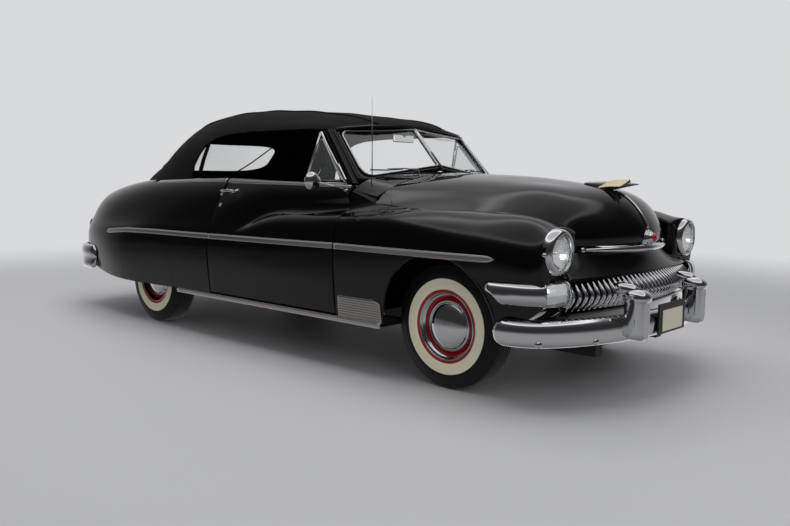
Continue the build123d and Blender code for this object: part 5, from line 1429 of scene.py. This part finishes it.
# ---- Cabin ---------------------------------------------------------------------------
# Two bench seats in black hide with a rolled top, a painted dash with one round-ended
# instrument panel, and a two-spoke wheel with a horn ring on its column.
HIDE = finish("seat hide, black, grained", "#1b1819", roughness=0.45, specular_ior_level=0.4)
tree = HIDE.node_tree
grain = add_node(tree, "ShaderNodeTexVoronoi", {"Vector": add_node(tree,
    "ShaderNodeTexCoord").outputs["Object"], "Scale": 420.0})
bump = add_node(tree, "ShaderNodeBump", {"Height": grain.outputs["Distance"], "Strength": 0.25,
    "Distance": 0.0006})
tree.links.new(bump.outputs["Normal"], tree.nodes["Principled BSDF"].inputs["Normal"])
CARPET = canvas("floor carpet, black loop pile", "#141414", 0.007)
SEAT_HALF_W = 0.648


def pad(name, profile, half_w, pleats, swell, body, slot, *nodes):
    """A padded roll: a side profile drawn across the car, swelled as a stuffed cloth bag."""
    outline = smooth([*profile, profile[0]], 57)[:-1]
    middle_of = outline.mean(0)
    rows = []
    for t in np.linspace(-1, 1, 81):
        end = 1 - 0.10 * abs(t) ** 14
        ring = middle_of + (outline - middle_of) * end
        rows.append(ring + (0, t * half_w, 0))
    made = piece(name, [np.array(rows)], HIDE, closed=True, centre=tuple(middle_of))
    face_out(made, close=True)
    remesh = made.modifiers.new("even", "REMESH")
    remesh.mode, remesh.voxel_size = "VOXEL", 0.011
    graph = bpy.context.evaluated_depsgraph_get()
    made.data = bpy.data.meshes.new_from_object(made.evaluated_get(graph))
    made.modifiers.clear()
    before = np.array([v.co for v in made.data.vertices])
    cloth = made.modifiers.new("stuffing", "CLOTH")
    cloth.settings.use_pressure, cloth.settings.uniform_pressure_force = True, 4.0
    cloth.settings.effector_weights.gravity = 0
    cloth.point_cache.frame_start, cloth.point_cache.frame_end = 1, 20
    scene = bpy.context.scene
    for step in range(1, 21):
        scene.frame_set(step)
    graph = bpy.context.evaluated_depsgraph_get()
    after = bpy.data.meshes.new_from_object(made.evaluated_get(graph))
    made.modifiers.clear()
    moved = np.array([v.co for v in after.vertices]) - before
    length = np.linalg.norm(moved, axis=1)[:, None]
    moved *= np.minimum(1, swell / np.maximum(length, 1e-9))
    for vertex, co in zip(after.vertices, before + moved):
        vertex.co = co
    made.data = after
    made.data.materials.clear()
    made.data.materials.append(HIDE)
    scene.frame_set(1)
    pitch = 2 * half_w / pleats
    for vertex in made.data.vertices:
        x, y, z = vertex.co
        fold = abs(((y / pitch) + 0.5) % 1 - 0.5) * pitch
        inset = 0.007 * np.exp(-((fold / 0.007) ** 2)) * (abs(y) < half_w * 0.95)
        away = Vector((x - middle_of[0], 0, z - middle_of[2])).normalized()
        vertex.co = Vector((x, y, z)) - away * inset
    made.data.shade_smooth()
    level = made.modifiers.new("round", "SUBSURF")
    level.levels = level.render_levels = 1
    settle(made, body, slot, *nodes)
    return made


def side_points(*points):
    return [(x, 0.0, z) for x, z in points]


pad("front_seat_cushion", side_points((0.412, 0.500), (0.416, 0.560), (0.390, 0.592), (0.25, 0.590),
    (0.10, 0.578), (-0.02, 0.566), (-0.045, 0.530), (-0.03, 0.492), (0.2, 0.486)),
    SEAT_HALF_W - 0.012, 17, 0.012, "root", "seat_leather", "front_seat")
pad("front_seat_back", side_points((-0.072, 0.585), (-0.062, 0.640), (-0.095, 0.780), (-0.135, 0.920),
    (-0.163, 1.005), (-0.195, 1.018), (-0.226, 1.000), (-0.222, 0.900), (-0.195, 0.740), (-0.150, 0.590),
    (-0.11, 0.560)), SEAT_HALF_W - 0.012, 17, 0.010, "root", "seat_leather")
pad("rear_seat_cushion", side_points((-0.770, 0.636), (-0.775, 0.655), (-0.80, 0.664), (-0.95, 0.656),
    (-1.14, 0.644), (-1.18, 0.638), (-1.15, 0.634), (-0.95, 0.634)),
    0.600, 15, 0.006, "root", "seat_leather", "rear_seat")
pad("rear_seat_back", side_points((-1.215, 0.680), (-1.222, 0.760), (-1.262, 0.900), (-1.300, 1.015),
    (-1.335, 1.042), (-1.385, 1.030), (-1.395, 0.900), (-1.395, 0.720), (-1.36, 0.650), (-1.27, 0.648)),
    0.600, 15, 0.010, "root", "seat_leather")
for side, sign in SIDES:
    track = slab(f"seat_track_{side}", (-0.06, sign * 0.42 - 0.025, 0.3645), (0.44, 0.05, 0.115), DARK,
        0.004)
    settle(track, "root", "chassis_black")

# Dash: a rolled painted panel below the windshield with a bright instrument surround
DASH_X, GAUGE_Z, KNOB_PITCH = 0.838, 1.02, 0.14
dash_y = np.linspace(-0.694, 0.694, 61)
profile = [(0.930, 1.082), (0.880, 1.092), (0.850, 1.080), (0.838, 1.050), (0.838, 1.000), (0.846, 0.930),
    (0.860, 0.894), (0.900, 0.892), (0.925, 0.893)]
profile = smooth([(x, 0, z) for x, z in profile], 40)
dash_grid = np.array([[(x, y, z) for y in dash_y] for x, _, z in profile])
dash = piece("dash_panel", [dash_grid], PAINT, 0.003, 0.001, centre=(0.93, 0, 1.0))
settle(dash, "root", "dash_enamel", "dashboard")
FACE = finish("instrument face, printed cream", "#cfc8b0", roughness=0.5)
for label, y, r in (("speed", 0.375, 0.062), ("clock", -0.30, 0.048)):
    ring = turned(f"dash_{label}_bezel", [(r + 0.008, -0.004), (r + 0.008, 0.006), (r + 0.003, 0.010),
        (r - 0.002, 0.006), (r - 0.002, -0.004)], (DASH_X, y, GAUGE_Z), (-1, 0, 0), BRIGHT, 48)
    settle(ring)
    face = turned(f"dash_{label}_face", [(r, -0.002), (r, 0.001), (0, 0.001)], (DASH_X, y, GAUGE_Z),
        (-1, 0, 0), FACE, 48)
    settle(face, "root", "dash_enamel")
    needle = bead(f"dash_{label}_needle", [(0.834, y - 0.01, 1.01), (0.834, y + 0.03, 1.045)], 0.0012,
        PAINT)
    settle(needle, "root", "black_enamel")
grille_panel = slab("radio_grille", (0.832, -0.12, 0.965), (0.008, 0.24, 0.085), BRIGHT, 0.003)
settle(grille_panel)
for i in (0, 1, 2, 4, 5, 6):
    knob = turned(f"dash_knob_{i}", [(0, 0.03), (0.010, 0.029), (0.012, 0.022), (0.010, 0.014),
        (0.004, 0.010), (0.004, -0.004)], (0.842, KNOB_PITCH * (i - 3), 0.925), (-1, 0, 0), BRIGHT, 24)
    settle(knob)

# Steering wheel: a moulded rim with finger grips, two spokes and a bright horn ring
TILT = radians(62)
HUB = Vector((0.470, 0.375, 1.000))
COLUMN = Vector((-sin(TILT), 0, cos(TILT)))
WHEEL_SIDE = Vector((0, 1, 0))
WHEEL_UP = COLUMN.cross(WHEEL_SIDE)
RIM_R, HORN_R = 0.215, 0.135
IVORY = finish("wheel rim plastic, moulded ivory", "#b9ae93", roughness=0.35)


def on_wheel(radius, angle, height=0.0):
    return HUB + WHEEL_SIDE * (radius * cos(angle)) + WHEEL_UP * (radius * sin(angle)) + COLUMN * height


angles = np.linspace(0, 2 * pi, 181)
grips = 0.0105 + 0.0008 * np.cos(angles * 36) * (np.sin(angles) < 0.2)
rim_path = [on_wheel(RIM_R, a) for a in angles]
rim = bead("steering_rim", rim_path, grips, IVORY, ends=False, sides=16)
settle(rim, "steering_wheel_body", "wheel_rim_plastic", "steering_wheel")
horn = bead("horn_ring", [on_wheel(HORN_R, a, 0.012) for a in np.linspace(0, 2 * pi, 91)], 0.0045, BRIGHT,
    ends=False)
settle(horn, "steering_wheel_body")
for label, a in (("left", 0.0), ("right", pi)):
    spoke = bead(f"steering_spoke_{label}", [on_wheel(0.03, a, -0.006), on_wheel(0.12, a, -0.010),
        on_wheel(RIM_R - 0.007, a, 0.0)], [0.014, 0.011, 0.009], IVORY, sides=14)
    settle(spoke, "steering_wheel_body", "wheel_rim_plastic")
hub_cap = turned("steering_hub", [(0.0, -0.032), (0.038, -0.032), (0.039, -0.006), (0.034, 0.006),
    (0.026, 0.011), (0, 0.013)], HUB, COLUMN, IVORY, 48)
settle(hub_cap, "steering_wheel_body", "wheel_rim_plastic")
button = turned("horn_button", [(0.022, 0.008), (0.021, 0.014), (0.012, 0.018), (0, 0.019)], HUB, COLUMN,
    BRIGHT, 40)
settle(button, "steering_wheel_body")
# Rear-view mirror on a stalk from the header
mirror_stalk = bead("rear_view_stalk", [(0.755, 0, 1.492), (0.715, 0, 1.470), (0.690, 0, 1.448)], 0.006,
    BRIGHT)
settle(mirror_stalk)
mirror_case = slab("rear_view_mirror", (0.672, -0.105, 1.408), (0.018, 0.21, 0.058), BRIGHT, 0.008)
settle(mirror_case)
# Main links of the folding top, inside each side opening
for side, sign in SIDES:
    link = bead(f"top_link_{side}", [(-0.720, sign * 0.640, 1.455), (-0.800, sign * 0.655, 1.30),
        (-0.865, sign * 0.665, 1.14)], [0.013, 0.015, 0.017], DARK, sides=12)
    settle(link, "root", "chassis_black")

# ---- Running gear --------------------------------------------------------------------
# The frame, axles, engine and pipes below the body, all brushed or sprayed dark.
IRON = finish("engine enamel over cast iron", "#3a3d3a", roughness=0.5, metallic=0.0)
PIPE = finish("exhaust pipe, mild steel, dulled", "#6a655f", metallic=1.0, roughness=0.45)
NODE_FINISH = {"cowl": PAINT, "windshield_frame": PAINT, "top_bows": DARK, "floor_pan": CARPET,
    "chassis_frame": DARK, "front_suspension": DARK, "knuckle_left": DARK, "knuckle_right": DARK,
    "rear_axle": DARK, "fuel_tank": DARK, "engine_block": IRON, "exhaust_system": PIPE,
    "steering_column": PAINT,}
for node, material in NODE_FINISH.items():
    for found in bpy.data.objects:
        if found.get("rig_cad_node") == node and found.type == "MESH":
            found.data.materials.clear()
            found.data.materials.append(material)

# ---- Studio --------------------------------------------------------------------------
# A pale studio floor under broad soft light. The walls are pale beyond the car and fall off
# into a dim room on the near side, so that the gloss and the chrome show form.
SWEEP = finish("studio floor, matt grey paint", "#b9b9bb", roughness=0.55)
tree = SWEEP.node_tree
ray = add_node(tree, "ShaderNodeLightPath").outputs
far = add_node(tree, "ShaderNodeVectorMath", {0: add_node(tree, "ShaderNodeTexCoord").outputs["Object"]},
    operation="LENGTH")
fade = add_node(tree, "ShaderNodeMapRange", {"Value": far.outputs["Value"], "From Min": 3.6,
    "From Max": 9.0}, interpolation_type="SMOOTHSTEP")
seen = add_node(tree, "ShaderNodeMath", {0: ray["Is Camera Ray"], 1: ray["Is Transmission Ray"]},
    operation="MAXIMUM")
share = add_node(tree, "ShaderNodeMath", {0: seen.outputs[0], 1: fade.outputs["Result"]},
    operation="MULTIPLY")
wall = add_node(tree, "ShaderNodeEmission", {"Color": linear("#d9dadc")})
cover = add_node(tree, "ShaderNodeMixShader", {0: share.outputs[0],
    1: tree.nodes["Principled BSDF"].outputs[0], 2: wall.outputs[0]})
tree.links.new(cover.outputs[0], tree.nodes["Material Output"].inputs["Surface"])
floor_mesh = bpy.data.meshes.new("studio_floor")
floor_mesh.from_pydata([(-40, -40, 0), (40, -40, 0), (40, 40, 0), (-40, 40, 0)], [], [(0, 1, 2, 3)])
floor_mesh.materials.append(SWEEP)
floor = placed("studio_floor", floor_mesh)
floor.visible_glossy = False


def soft_light(name, place, target, size, power):
    """A rectangular soft box aimed at a point, which the gloss doesn't mirror."""
    lamp = bpy.data.lights.new(name, "AREA")
    lamp.shape, lamp.size, lamp.size_y, lamp.energy = "RECTANGLE", *size, power
    made = placed(name, lamp)
    made.location = place
    made.rotation_euler = (Vector(target) - Vector(place)).to_track_quat("-Z", "Y").to_euler()
    made.visible_glossy = False


soft_light("overhead_softbox", (0, -0.5, 6.0), (0, 0, 0), (8.0, 5.0), 330)
soft_light("front_softbox", (7.5, -3.5, 3.2), (0, 0, 0.6), (4.0, 3.0), 90)
soft_light("rear_softbox", (-7.0, 4.0, 3.5), (0, 0, 0.6), (4.0, 3.0), 60)

world = bpy.data.worlds.new("studio")
world.use_nodes = True
bpy.context.scene.world = world
tree = world.node_tree
tree.nodes.clear()
ray = add_node(tree, "ShaderNodeLightPath").outputs
toward = add_node(tree, "ShaderNodeSeparateXYZ",
    {"Vector": add_node(tree, "ShaderNodeTexCoord").outputs["Generated"]}).outputs


def ramp(value, stops):
    """A grey that follows a value between (place, grey) stops."""
    made = add_node(tree, "ShaderNodeValToRGB", {"Fac": value})
    made.color_ramp.interpolation = "EASE"
    for i, (place, _) in enumerate(stops):
        stop = made.color_ramp.elements[i] if i < 2 else made.color_ramp.elements.new(place)
        stop.position = place
    for stop, (place, grey) in zip(made.color_ramp.elements, sorted(stops)):
        stop.position, stop.color = place, (grey, grey, grey * 1.03, 1)
    return made.outputs["Color"]


# Up the walls to the ceiling's long lights, and round from the backdrop to the dim side
height = add_node(tree, "ShaderNodeMapRange", {"Value": toward["Z"], "From Min": -1.0, "From Max": 1.0})
walls = ramp(height.outputs["Result"], ((0.0, 0.16), (0.38, 0.30), (0.46, 0.10), (0.50, 0.03),
    (0.66, 0.03), (0.80, 0.05), (0.86, 0.16), (0.90, 1.1), (0.94, 0.6), (1.0, 0.5)))
beyond = add_node(tree, "ShaderNodeVectorMath", {0: add_node(tree,
    "ShaderNodeTexCoord").outputs["Generated"], 1: (-0.68, 0.73, 0.0)}, operation="DOT_PRODUCT")
backdrop = ramp(add_node(tree, "ShaderNodeMapRange", {"Value": beyond.outputs["Value"], "From Min": -1.0,
    "From Max": 1.0}).outputs["Result"], ((0.0, 0.0), (0.62, 0.0), (0.92, 0.52), (1.0, 0.60)))
room = add_node(tree, "ShaderNodeMix", {6: walls, 7: backdrop, 0: 1.0}, data_type="RGBA",
    blend_type="ADD")
mirrored = add_node(tree, "ShaderNodeBackground", {"Color": room.outputs[2]})
ambient = add_node(tree, "ShaderNodeBackground", {"Color": linear("#eef0f4"), "Strength": 0.42})
pale = add_node(tree, "ShaderNodeBackground", {"Color": linear("#d9dadc")})
gloss = add_node(tree, "ShaderNodeMixShader", {0: ray["Is Glossy Ray"], 1: ambient.outputs[0],
    2: mirrored.outputs[0]})
seen = add_node(tree, "ShaderNodeMath", {0: ray["Is Camera Ray"], 1: ray["Is Transmission Ray"]},
    operation="MAXIMUM")
shown = add_node(tree, "ShaderNodeMixShader", {0: seen.outputs[0], 1: gloss.outputs[0],
    2: pale.outputs[0]})
add_node(tree, "ShaderNodeOutputWorld", {"Surface": shown.outputs[0]})

# ---- Camera --------------------------------------------------------------------------
# At chest height off the right front corner, level enough that uprights stay upright.
YAW, PITCH, ROLL = radians(132.80), radians(-6.118), radians(0.389)
aim = Vector((cos(PITCH) * cos(YAW), cos(PITCH) * sin(YAW), sin(PITCH)))
right = aim.cross(Vector((0, 0, 1))).normalized()
up = right.cross(aim)
right, up = right * cos(ROLL) + up * sin(ROLL), up * cos(ROLL) - right * sin(ROLL)
lens = bpy.data.cameras.new("camera")
lens.sensor_width, lens.lens, lens.clip_end = 36.0, 36.007, 200
camera = placed("camera", lens)
camera.matrix_world = Matrix((right, up, -aim)).transposed().to_4x4()
camera.location = (4.461, -4.158, 1.160)
bpy.context.scene.camera = camera
bpy.context.scene.view_settings.view_transform = "Standard"
